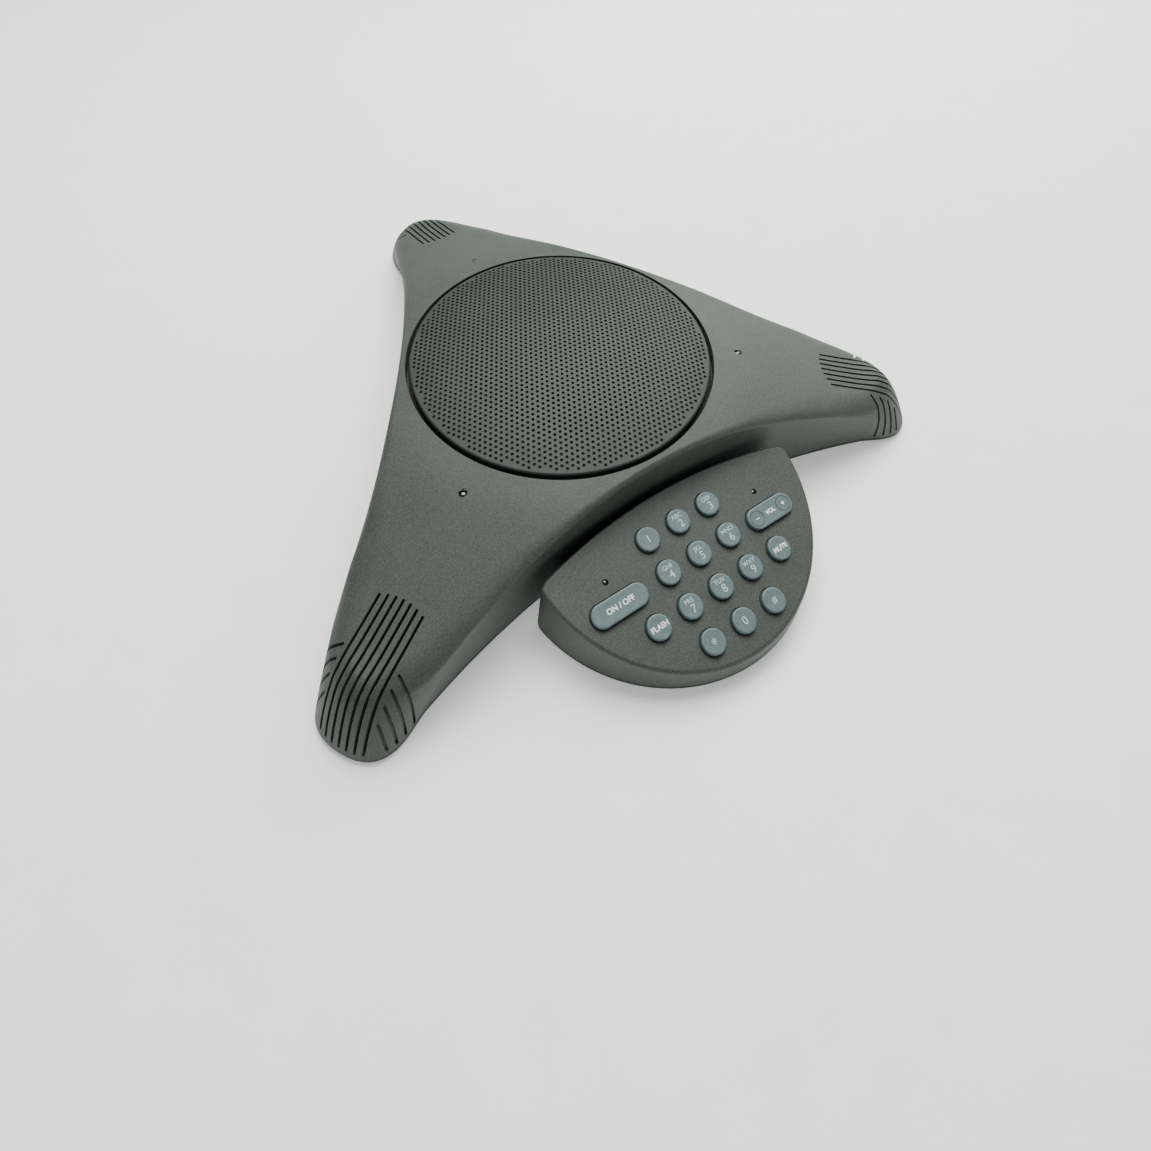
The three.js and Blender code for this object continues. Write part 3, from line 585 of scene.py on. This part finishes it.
def consoleLoops(depth, faceShares, cornerShares, wallShares):
    # outer loops, or inner ones with a depth, from the speaker opening down to the seam;
    # the shares say how far along the face, round the corner and down the wall each loop lies
    edge = inset(consoleOutline(consoleShape["topEdge"]), depth)
    base = inset(consoleOutline(consoleShape["baseEdge"]), depth)
    sideMid = consoleShape["topEdge"]["sideMid"]
    beside = consoleShape["besideOpening"] * (sideMid - layout["openingRadius"])
    extra = [armRoundingAt(p) for p in edge]
    growth = consoleShape["besideGrowth"]
    widths = [min(consoleShape["edgeRounding"], beside + (p.length - sideMid) * growth) + more
              for p, more in zip(edge, extra)]
    columns = []
    for point, foot, soft, more in zip(edge, base, insetEach(edge, widths), extra):
        opening = point * (layout["openingRadius"] / point.length)
        column = []
        for share in faceShares:
            spot = opening.lerp(soft, share)
            column.append((spot.x, spot.y, faceHeight(*spot) - depth))
        softHeight = faceHeight(*soft) - depth
        edgeHeight = faceHeight(*point) - depth
        flare = clamp((foot.length - point.length) / consoleShape["noseFlare"])
        roundness = consoleShape["noseRoundness"] * flare

        def onWall(share):
            across = share + roundness * (math.sqrt(1 - (1 - share) ** 2) - share)
            spot = point.lerp(foot, across)
            return Vector((spot.x, spot.y, edgeHeight + (layout["seam"] - edgeHeight) * share))

        # the edge turns into the wall where the wall has come this far down
        turnDepth = consoleShape["turnDepth"] + consoleShape["turnGrowth"] * more
        turned = turnDepth / (edgeHeight - layout["seam"])
        start, middle = Vector((*soft, softHeight)), Vector((*point, edgeHeight))
        end = onWall(turned)
        for t in cornerShares:
            column.append(start * (1 - t) ** 2 + middle * 2 * t * (1 - t) + end * t * t)
        for share in wallShares:
            column.append(onWall(turned + (1 - turned) * share))
        columns.append(column)
    return [[inFrame(spot) for spot in loop] for loop in zip(*columns)]


def slotCutters(bm, sides, angle):
    # bars for one arm: the long ones go through the skin, those for its sides are trimmed later
    turn = Matrix.Rotation(math.radians(angle), 4, "Z")
    tip = consoleShape["baseEdge"]["tip"]
    half = slotShape["width"] / 2
    for i in range(slotShape["count"]):
        across = (i - (slotShape["count"] - 1) / 2) * slotShape["pitch"]
        start = slotShape["start"] + across ** 2 / slotShape["arc"]
        made = addBox(bm, (start, across - half, slotShape["floor"]),
                      (tip + 4, across + half, layout["ringHeight"]), turn)
        upright = [e for v in made for e in v.link_edges
                   if abs(e.verts[0].co.z - e.verts[1].co.z) > 0.01]
        bmesh.ops.bevel(bm, geom=list(set(upright)), offset=half * 0.00095, segments=4, profile=0.5,
                        affect="EDGES", material=-1)
    lean = math.radians(slotShape["sideLean"])
    low = (slotShape["floor"] - slotShape["sideTop"]) / math.cos(lean)
    for reach in slotShape["sideReaches"]:
        for side in (-1, 1):
            near, far = sorted((0, side * slotShape["sideLength"]))
            place = Matrix.Translation((reach, side * slotShape["sideHalf"], slotShape["sideTop"]))
            swing = Matrix.Rotation(-side * math.radians(slotShape["sideTurn"]), 4, "Z")
            addBox(sides, (-half, near, low), (half, far, slotShape["sideAbove"]),
                   turn @ place @ swing @ Matrix.Rotation(-lean, 4, "Y"))


def makeConsoleHousing():
    shape = consoleShape
    corner, wall = shape["cornerShares"], shape["wallShares"]
    outer = consoleLoops(0, shape["faceShares"], corner, wall)
    inner = consoleLoops(shape["skin"], (0, 0.35, 0.7), (0,), (0, 0.3, 0.65, 1))
    bm = bmesh.new()
    stackLoops(bm, outer + inner[::-1], ringed=True)
    tool, sides, core = bmesh.new(), bmesh.new(), bmesh.new()
    for angle in layout["armAngles"]:
        slotCutters(tool, sides, angle)
        addPost(tool, polar(angle, shape["lampReach"]), shape["lampHole"], *shape["lampCut"])
    # a core a little smaller than the housing leaves the side bars as deep as their grooves
    stackLoops(core, consoleLoops(slotShape["sideDepth"], (0, 0.35, 0.7), corner, wall),
               capStart=True, capEnd=True)
    joinInto(tool, cutBy(sides, core))
    for gap in ("ribbonGap", "neckGap", "cableGap"):
        addBox(tool, *shape[gap])
    bm = cutBy(bm, tool)
    # inside: the deck under the grille, with a wall round its seat, and the screw bosses
    inside = bmesh.new()
    high = layout["deckTop"]
    low = high - shape["deckThickness"]
    seat = layout["ringHeight"] - shape["seatDrop"]
    hole, edge = shape["deckRadii"]
    opening = layout["openingRadius"]
    deck = [(hole, low), (edge, low), (edge, seat), (opening, seat), (opening, high), (hole, high)]
    spinProfile(inside, deck, 96, closed=True)
    for vert in inside.verts:
        vert.co = inFrame(vert.co)
    for angle in layout["armAngles"]:
        place = polar(angle, shape["bossReach"])
        addPost(inside, place, shape["bossRadius"], shape["bossLow"],
                faceHeight(*place) - shape["bossCover"])
    joinInto(bm, inside)
    finishPiece(bm, "consoleHousing", "base", [finishes["charcoal_abs"]],
                "top_housing")


makeConsoleHousing()
print("console housing made")


podShape = {
    "centreY": -94.4, "radius": 74.6,          # outline of the face
    "baseCentreY": -92.0, "baseRadius": 77.0,  # and of the lower edge
    "poleY": -127.0,                           # a place well inside, for drawing the outlines
    "rearY": -88.3, "rearRadius": 280.0,       # the rear edge follows the console's side
    "baseBehind": 1.0,                         # the lower edge goes this far under the console
    "cornerSoftness": 2.0,
    "faceY": -130.0, "faceHeight": 26.0,       # the middle of the key grid
    "slope": math.atan(0.305),
    "edgeRoll": 1.7, "innerRoll": 0.8, "skin": 2.0,
    "openingCut": (-4.0, 3.0),                 # below and above the face
    "ribbonGap": ((-12, -95, 8), (12, -76, 16)),
    "neckGap": ((-50.3, -88, 3), (50.3, -76, 5.3)),
    "boss": (60.0, -105.0), "bossCover": 1.6,
}
keyShape = {
    "radius": 5.85, "pillRadius": 5.45, "gap": 0.5, "pitchX": 18.2, "pitchY": 17.5,
    "proud": 2.4,                              # of the face, at rest
    "softEdge": 0.8, "dish": 0.12,
    "flange": 1.1, "flangeThickness": 0.8, "flangeGap": 0.3,
    "ridge": ((-1, -4, -0.7), (1, 4, 0.2)),         # under the volume key, that it rocks on,
    "ears": ((-3, -6.55, 0), (3, 6.55, 0.6)),       # and at its sides, that hold it
    "boldness": {"pale": 0.03, "bright": 0.11},     # added to the letters' outline
    "longY": 7.9,
    "onOffX": -46.7, "onOffLength": 29.8,
    "volumeX": 44.0, "volumeLength": 27.0,
    "spotX": 8.3, "spotRadius": 3.9, "spotBand": 0.4,   # the rings round minus and plus
    "lamps": ((-46.5, 19.8), (44.1, 19.8)), "lampHole": 1.45,
}
keyFace = (Matrix.Translation((0, podShape["faceY"], podShape["faceHeight"]))
           @ Matrix.Rotation(podShape["slope"], 4, "X"))


def onFace(x, y, z=0):
    # a place on the keypad's own plane, in millimetres, put in the frame
    return inFrame(keyFace @ Vector((x, y, z)))


def podOutline(centreY, radius, rearY):
    # seen from the pole, the shorter way to the disc or to the rear edge, with soft corners
    outline = []
    for step in range(192):
        cos, sin = polar(360 * step / 192, 1)

        def reachTo(circleY, circleRadius):
            away = podShape["poleY"] - circleY
            along = away * sin
            return -along + math.sqrt(along ** 2 - away ** 2 + circleRadius ** 2)

        toDisc = reachTo(centreY, radius)
        toRear = reachTo(rearY - podShape["rearRadius"], podShape["rearRadius"])
        soft = podShape["cornerSoftness"]
        reach = -soft * math.log(math.exp(-toDisc / soft) + math.exp(-toRear / soft))
        outline.append(Vector((reach * cos, podShape["poleY"] + reach * sin)))
    return outline


def keypadHeight(y):
    return podShape["faceHeight"] + (y - podShape["faceY"]) * math.tan(podShape["slope"])


def podBase():
    return podOutline(podShape["baseCentreY"], podShape["baseRadius"],
                      podShape["rearY"] + podShape["baseBehind"])


def coverLoops(depth, roll, rollSteps, wallSteps):
    # outer loops, or inner ones with a depth, from the rolled edge of the face down to the seam
    top = podOutline(podShape["centreY"], podShape["radius"], podShape["rearY"])
    base = inset(podBase(), depth)
    slant = depth / math.cos(podShape["slope"])
    rim = inset(top, depth)
    loops = []
    for step in range(rollSteps + 1):
        turn = math.radians(90 * step / rollSteps)
        ring = inset(top, depth + roll * (1 - math.sin(turn)))
        drop = slant + roll * (1 - math.cos(turn))
        loops.append([inFrame((p.x, p.y, keypadHeight(p.y) - drop)) for p in ring])
    for step in range(1, wallSteps + 1):
        share = step / wallSteps
        heights = [(keypadHeight(r.y) - slant - roll) * (1 - share) + layout["seam"] * share
                   for r in rim]
        loops.append([inFrame((*r.lerp(b, share), z)) for r, b, z in zip(rim, base, heights)])
    return loops


# round keys: name, column and row
roundKeys = [
    ("key_1", -1, 0), ("key_2", 0, 0), ("key_3", 1, 0),
    ("key_4", -1, 1), ("key_5", 0, 1), ("key_6", 1, 1),
    ("key_7", -1, 2), ("key_8", 0, 2), ("key_9", 1, 2),
    ("key_star", -1, 3), ("key_0", 0, 3), ("key_hash", 1, 3),
    ("key_flash", -2, 2), ("key_mute", 2, 2),
]


def gridPlace(column, row):
    return column * keyShape["pitchX"], (1.5 - row) * keyShape["pitchY"]


def makeKeypadCover():
    bm = bmesh.new()
    outer = coverLoops(0, podShape["edgeRoll"], 5, 5)
    inner = coverLoops(podShape["skin"], podShape["innerRoll"], 2, 2)
    stackLoops(bm, outer + inner[::-1], capStart=True, capEnd=True)
    tool = bmesh.new()
    wide = keyShape["radius"] + keyShape["gap"]
    pillWide = keyShape["pillRadius"] + keyShape["gap"]
    openings = [(*gridPlace(column, row), circlePoints(wide)) for name, column, row in roundKeys]
    openings += [(keyShape[key + "X"], keyShape["longY"],
                  pillPoints(keyShape[key + "Length"] + 2 * keyShape["gap"], pillWide))
                 for key in ("onOff", "volume")]
    openings += [(x, y, circlePoints(keyShape["lampHole"], 24)) for x, y in keyShape["lamps"]]
    for x, y, outline in openings:
        stackLoops(tool, [[onFace(x + px, y + py, z) for px, py in outline]
                          for z in podShape["openingCut"]], capStart=True, capEnd=True)
    for gap in ("ribbonGap", "neckGap"):
        addBox(tool, *podShape[gap])
    bm = cutBy(bm, tool)
    inside = bmesh.new()
    x, y = podShape["boss"]
    for side in (-1, 1):
        addPost(inside, (side * x, y), consoleShape["bossRadius"], consoleShape["bossLow"],
                keypadHeight(y) - podShape["bossCover"])
    joinInto(bm, inside)
    finishPiece(bm, "keypadCover", "base", [finishes["charcoal_abs"]],
                "keypad_cover")


makeKeypadCover()
print("keypad cover made")


# legend lines: text, size, sideways, up, all in the key's own millimetres
legends = {
    "key_1": [("1", 5.2, 0, -1.7)],
    "key_2": [("ABC", 3.1, 0.1, 1.3), ("2", 5.4, 0.4, -3.2)],
    "key_3": [("DEF", 3.1, 0.1, 1.3), ("3", 5.4, 0.4, -3.2)],
    "key_4": [("GHI", 3.1, 0.1, 1.3), ("4", 5.4, 0.4, -3.2)],
    "key_5": [("JKL", 3.1, 0.1, 1.3), ("5", 5.4, 0.4, -3.2)],
    "key_6": [("MNO", 3.0, 0.1, 1.3), ("6", 5.4, 0.4, -3.2)],
    "key_7": [("PRS", 3.1, 0.1, 1.3), ("7", 5.4, 0.4, -3.2)],
    "key_8": [("TUV", 3.1, 0.1, 1.3), ("8", 5.4, 0.4, -3.2)],
    "key_9": [("WXY", 3.0, 0.1, 1.3), ("9", 5.4, 0.4, -3.2)],
    "key_star": [("*", 6.4, 0, -3.2)],
    "key_0": [("0", 5.2, 0, -1.8)],
    "key_hash": [("#", 4.6, 0, -1.5)],
    "key_flash": [("FLASH", 3.3, 0.2, -1.1)],
    "key_mute": [("MUTE", 3.1, 0.2, -1.1)],
    "key_on_off": [("ON / OFF", 3.6, 0.2, -1.1)],
    "key_volume": [("VOL", 2.9, 0, -1.0), ("–", 3.4, -8.3, -1.0), ("+", 3.6, 8.3, -1.2)],
}
brightKeys = ("key_flash", "key_mute", "key_on_off", "key_volume")


def addLegend(bm, text, size, x, y, height, boldness):
    # flat letters just proud of the cap, in the cap's second material
    curve = bpy.data.curves.new("legend", "FONT")
    curve.body = text
    curve.size = size
    curve.align_x = "CENTER"
    curve.offset = boldness
    curve.resolution_u = 4
    holder = bpy.data.objects.new("legend", curve)
    scene.collection.objects.link(holder)
    evaluated = holder.evaluated_get(bpy.context.evaluated_depsgraph_get())
    mesh = bpy.data.meshes.new_from_object(evaluated)
    letters = bmesh.new()
    letters.from_mesh(mesh)
    for vert in letters.verts:
        vert.co = Vector((vert.co.x + x, vert.co.y + y, height))
    for face in letters.faces:
        face.material_index = 1
        if face.normal.z < 0:
            face.normal_flip()
    letters.to_mesh(mesh)
    letters.free()
    bm.from_mesh(mesh)
    bpy.data.meshes.remove(mesh)
    bpy.data.objects.remove(holder)
    bpy.data.curves.remove(curve)


def addSpot(bm, x, height):
    # a fine moulded ring, drawn flat as a thin band of the housing's darker plastic: painted shade
    # in place of the ring's relief
    ring = bmesh.ops.create_circle(bm, cap_ends=False, segments=40, radius=keyShape["spotRadius"])
    edges = list({e for v in ring["verts"] for e in v.link_edges})
    inner = bmesh.ops.extrude_edge_only(bm, edges=edges)
    fresh = [g for g in inner["geom"] if isinstance(g, bmesh.types.BMVert)]
    for vert in fresh:
        vert.co *= 1 - keyShape["spotBand"] / keyShape["spotRadius"]
    for vert in ring["verts"] + fresh:
        vert.co += Vector((x, 0, height))
    for face in {f for v in fresh for f in v.link_faces}:
        # the band takes the darker plastic as painted shade
        face.material_index = 2
        if face.normal.z < 0:
            face.normal_flip()


def makeKey(name, x, y, length=None):
    # a cap drawn from its flange up to its dished top; a length makes it a long key
    radius = keyShape["pillRadius"] if length else keyShape["radius"]
    proud, soft, flange = keyShape["proud"], keyShape["softEdge"], keyShape["flange"]

    def outline(r):
        return pillPoints(length - 2 * (radius - r), r) if length else circlePoints(r)

    flangeTop = -podShape["skin"] - keyShape["flangeGap"]
    low = flangeTop - keyShape["flangeThickness"]
    profile = [(radius, low), (radius, proud - soft)]
    if name != "key_volume":
        profile = [(radius + flange, low), (radius + flange, flangeTop), (radius, flangeTop),
                   (radius, proud - soft)]
    for step in range(1, 6):
        turn = math.radians(90 * step / 5)
        profile.append((radius - soft * (1 - math.cos(turn)), proud - soft * (1 - math.sin(turn))))
    for share in (0.75, 0.5, 0.25, 0.05):
        profile.append(((radius - soft) * share, proud - keyShape["dish"] * (1 - share ** 2)))
    bm = bmesh.new()
    stackLoops(bm, [[(px, py, z) for px, py in outline(r)] for r, z in profile],
               capStart=True, capEnd=True)
    if name == "key_volume":
        for box in ("ridge", "ears"):
            addCube(bm, *[(px, py, low + z) for px, py, z in keyShape[box]])
    bmesh.ops.recalc_face_normals(bm, faces=bm.faces)
    if name == "key_volume":
        # the rings round minus and plus, drawn as bands of painted shade
        for side in (-1, 1):
            addSpot(bm, side * keyShape["spotX"], proud + 0.02)
    shade = "bright" if name in brightKeys else "pale"
    for line in legends[name]:
        addLegend(bm, *line, proud + 0.03, keyShape["boldness"][shade])
    for vert in bm.verts:
        vert.co = onFace(x + vert.co.x, y + vert.co.y, vert.co.z)
    finishPiece(bm, name + "_cap", name,
                [finishes["key_plastic"], legendInks[shade], finishes["charcoal_abs"]], name)


for keyName, column, row in roundKeys:
    makeKey(keyName, *gridPlace(column, row))
makeKey("key_on_off", keyShape["onOffX"], keyShape["longY"], keyShape["onOffLength"])
makeKey("key_volume", keyShape["volumeX"], keyShape["longY"], keyShape["volumeLength"])
print("keys made")


grilleShape = {
    "radius": 80.0, "crown": 9.0,
    "pitch": 2.96, "hole": 1.5,      # mm, between hole centres and across a hole
    "perforated": 77.6, "thickness": 1.0, "skirt": 6.5, "rimRound": 1.2,
    "rings": 14, "steps": 144,
    "cut": (-8.0, 14.0),             # the cutter's ends, from the groove's height
}


def domeAt(reach):
    share = reach / layout["openingRadius"]
    return layout["ringHeight"] + grilleShape["crown"] * (1 - share ** 2)


def grilleBlank():
    # the pressed sheet before it is perforated, with its rolled rim and skirt
    radius, rim, thick = grilleShape["radius"], grilleShape["rimRound"], grilleShape["thickness"]
    flat = radius - rim
    top = [(flat * i / grilleShape["rings"], domeAt(flat * i / grilleShape["rings"]))
           for i in range(grilleShape["rings"] + 1)]
    turn = [(flat + rim * math.sin(a), domeAt(flat) - rim * (1 - math.cos(a)))
            for a in (math.radians(90 * i / 5) for i in range(1, 6))]
    bottom = domeAt(flat) - grilleShape["skirt"]
    under = [(r, z - thick) for r, z in reversed(top)]
    bm = bmesh.new()
    skirt = [(radius, bottom), (radius - thick, bottom), (radius - thick, under[0][1] - 0.3)]
    spinProfile(bm, top + turn + skirt + under, grilleShape["steps"])
    return bm


def repeat(bm, geom, count, step):
    # copies a pattern to both sides, count times each, where step gives the way to copy i
    for i in range(-count, count + 1):
        if i:
            copy = bmesh.ops.duplicate(bm, geom=geom)["geom"]
            verts = [g for g in copy if isinstance(g, bmesh.types.BMVert)]
            bmesh.ops.translate(bm, verts=verts, vec=step(i))


def everything(bm):
    return list(bm.verts) + list(bm.edges) + list(bm.faces)


def grilleCutter():
    # one small six-sided bar for each hole, in staggered rows
    pitch = grilleShape["pitch"]
    rise = pitch * math.sqrt(3) / 2
    bm = bmesh.new()
    bmesh.ops.create_circle(bm, cap_ends=True, segments=6,
                            radius=grilleShape["hole"] / math.sqrt(3))
    repeat(bm, everything(bm), int(grilleShape["radius"] / pitch) + 1, lambda i: (i * pitch, 0, 0))
    repeat(bm, everything(bm), int(grilleShape["radius"] / rise) + 1,
           lambda j: (pitch / 2 if j % 2 else 0, j * rise, 0))
    outside = [f for f in bm.faces if f.calc_center_median().length > grilleShape["perforated"]]
    bmesh.ops.delete(bm, geom=outside, context="FACES")
    print("grille holes", len(bm.faces))
    grown = bmesh.ops.extrude_face_region(bm, geom=list(bm.faces), use_keep_orig=True)["geom"]
    low, high = (layout["ringHeight"] + z for z in grilleShape["cut"])
    for vert in bm.verts:
        vert.co.z = low
    for vert in (g for g in grown if isinstance(g, bmesh.types.BMVert)):
        vert.co.z = high
    return bm


def makeGrille():
    bm = cutBy(grilleBlank(), grilleCutter())
    for vert in bm.verts:
        vert.co = inFrame(vert.co)
    finishPiece(bm, "grilleSheet", "base", [finishes["painted_steel"]],
                "speaker_grille")


makeGrille()
print("grille made")


# turned pieces: radius and height along the outline, from the axis back to the axis
lampShape = {
    "arm": [(0, -8), (2.4, -8), (2.4, -4.4), (1.8, -4.2), (1.8, -0.7), (1.5, -0.3), (0.9, -0.06),
            (0, 0)],
    "keypad": [(0, -5.4), (1.2, -5.4), (1.2, -0.7), (0.8, -0.4), (0, -0.3)],
    "sunk": 0.5,              # top of an arm's lens under the face round it
}
footShape = {
    "tread": [(0, 0), (3.6, 0), (3.9, 0.3), (4.3, 0.3), (4.6, 0), (5.6, 0), (6, 0.3), (6, 1.4),
              (0, 1.4)],
    "reach": 176.0, "keypadPlaces": ((-42.0, -146.0), (42.0, -146.0)),
}


def makeTurned(name, node, profile, at, slot, steps, put=inFrame):
    bm = bmesh.new()
    spinProfile(bm, profile, steps)
    bmesh.ops.recalc_face_normals(bm, faces=bm.faces)
    for vert in bm.verts:
        vert.co = put([origin + c for origin, c in zip(at, vert.co)])
    finishPiece(bm, name, "base", [finishes[slot]], node)


def makeFoot(name, place):
    makeTurned("rubberFoot_" + name, "foot_" + name, footShape["tread"], (*place, 0),
               "black_rubber", 40)


for angle, armName in zip(layout["armAngles"], layout["armNames"]):
    place = polar(angle, consoleShape["lampReach"])
    makeTurned("lampLens_" + armName, "status_lamp_" + armName, lampShape["arm"],
               (*place, faceHeight(*place) - lampShape["sunk"]), "lamp_lens", 32)
    makeFoot(armName, polar(angle, footShape["reach"]))
for side, place in zip(("left", "right"), keyShape["lamps"]):
    makeTurned("keypadLens_" + side, "keypad_lamp_" + side, lampShape["keypad"], (*place, 0),
               "lamp_lens", 20, lambda spot: onFace(*spot))
for side, place in zip(("left", "right"), footShape["keypadPlaces"]):
    makeFoot("keypad_" + side, place)
print("lamps and feet made")


floorShape = {
    "low": 1.0, "top": 3.0, "chamfer": 0.5,
    "neck": (50.0, -92.0, -70.0),             # half width, front and rear of the way to the pod,
    "neckInside": 0.05,                       # a little thinner than the floor that it joins
    "screwHole": 1.8, "headHole": 3.4, "headTop": 5.3,
    "post": 5.0, "postLow": 3.02, "postTop": 8.0,
    "footHole": 6.3, "footTop": 1.7,
    "well": ((-15.3, 87.7, 0), (15.3, 130.3, 6)),
}


def makeCaseFloor():
    # the black floor under console and pod, with recesses for screws and feet
    screwPlaces = [polar(angle, consoleShape["bossReach"]) for angle in layout["armAngles"]]
    screwPlaces += [(side * podShape["boss"][0], podShape["boss"][1]) for side in (-1, 1)]
    footPlaces = [polar(angle, footShape["reach"]) for angle in layout["armAngles"]]
    footPlaces += footShape["keypadPlaces"]
    whole = bmesh.new()
    for outline in (consoleOutline(consoleShape["baseEdge"]), podBase()):
        bm = bmesh.new()
        heights = ((0, floorShape["top"]), (0, floorShape["low"] + floorShape["chamfer"]),
                   (floorShape["chamfer"], floorShape["low"]))
        stackLoops(bm, [[inFrame((*p, z)) for p in inset(outline, depth)] for depth, z in heights],
                   capStart=True, capEnd=True)
        tool = bmesh.new()
        for place in screwPlaces:
            addPost(tool, place, floorShape["headHole"], 0, floorShape["top"] + 1)
        for place in footPlaces:
            addPost(tool, place, floorShape["footHole"], 0, floorShape["footTop"], 40)
        addBox(tool, *floorShape["well"])
        joinInto(whole, cutBy(bm, tool))
    half, near, far = floorShape["neck"]
    inside = floorShape["neckInside"]
    neck = bmesh.new()
    addBox(neck, (-half, near, floorShape["low"] + inside), (half, far, floorShape["top"] - inside))
    joinInto(whole, neck)
    hole, head, wide = (floorShape[key] for key in ("screwHole", "headHole", "post"))
    low, middle, high = (floorShape[key] for key in ("postLow", "headTop", "postTop"))
    for x, y in screwPlaces:
        post = bmesh.new()
        spinProfile(post, [(head, low), (wide, low), (wide, high), (hole, high), (hole, middle),
                           (head, middle)], 32, closed=True)
        for vert in post.verts:
            vert.co = inFrame((vert.co.x + x, vert.co.y + y, vert.co.z))
        joinInto(whole, post)
    finishPiece(whole, "caseFloor", "base", [finishes["black_abs"]], "bottom_housing")


makeCaseFloor()
print("case floor made")


# matt paper, with a faint glow that stands for the light it gets from all round
paperFloor = {
    "tones": ((0.3, "#f6f7f6"), (0.7, "#fafafa")),
    "fibre": 25.0, "glowTint": "#fbfffa", "glow": 0.34,
}


def makeFloor():
    bm = bmesh.new()
    bmesh.ops.create_grid(bm, x_segments=1, y_segments=1, size=4)
    mesh = bpy.data.meshes.new("floor")
    bm.to_mesh(mesh)
    bm.free()
    floor = bpy.data.objects.new("floor", mesh)
    scene.collection.objects.link(floor)
    material, shader = newMaterial("paperFloor")
    addTone(material, shader, addNoise(material, paperFloor["fibre"], 3.0), paperFloor["tones"])
    shader.inputs["Roughness"].default_value = 0.9
    shader.inputs["Specular IOR Level"].default_value = 0.1
    shader.inputs["Emission Color"].default_value = linear(paperFloor["glowTint"])
    shader.inputs["Emission Strength"].default_value = paperFloor["glow"]
    mesh.materials.append(material)


studio = {
    # name: place, aim and size in metres, watts, tint
    "overheadSoftbox": ((0.3, 0.42, 1.25), (0, 0, 0), (1.1, 0.8), 32, "#fdfffb"),
    "rightSoftbox": ((1.1, 0.45, 0.7), (0, 0, 0.03), (0.7, 0.7), 9, "#fbfff6"),
}
skyLight = {"tint": "#f4f8f6", "strength": 0.36}


def addAreaLight(name, spot, aim, size, power, tint):
    data = bpy.data.lights.new(name, "AREA")
    data.shape = "RECTANGLE"
    data.size, data.size_y = size
    data.energy = power
    data.color = linear(tint)[:3]
    light = bpy.data.objects.new(name, data)
    light.location = spot
    light.rotation_euler = (Vector(aim) - Vector(spot)).to_track_quat("-Z", "Y").to_euler()
    scene.collection.objects.link(light)


makeFloor()
for lightName, settings in studio.items():
    addAreaLight(lightName, *settings)
world = bpy.data.worlds.new("studioWorld")
world.use_nodes = True
sky = world.node_tree.nodes["Background"]
sky.inputs["Color"].default_value = linear(skyLight["tint"])
sky.inputs["Strength"].default_value = skyLight["strength"]
scene.world = world
print("floor and light set")
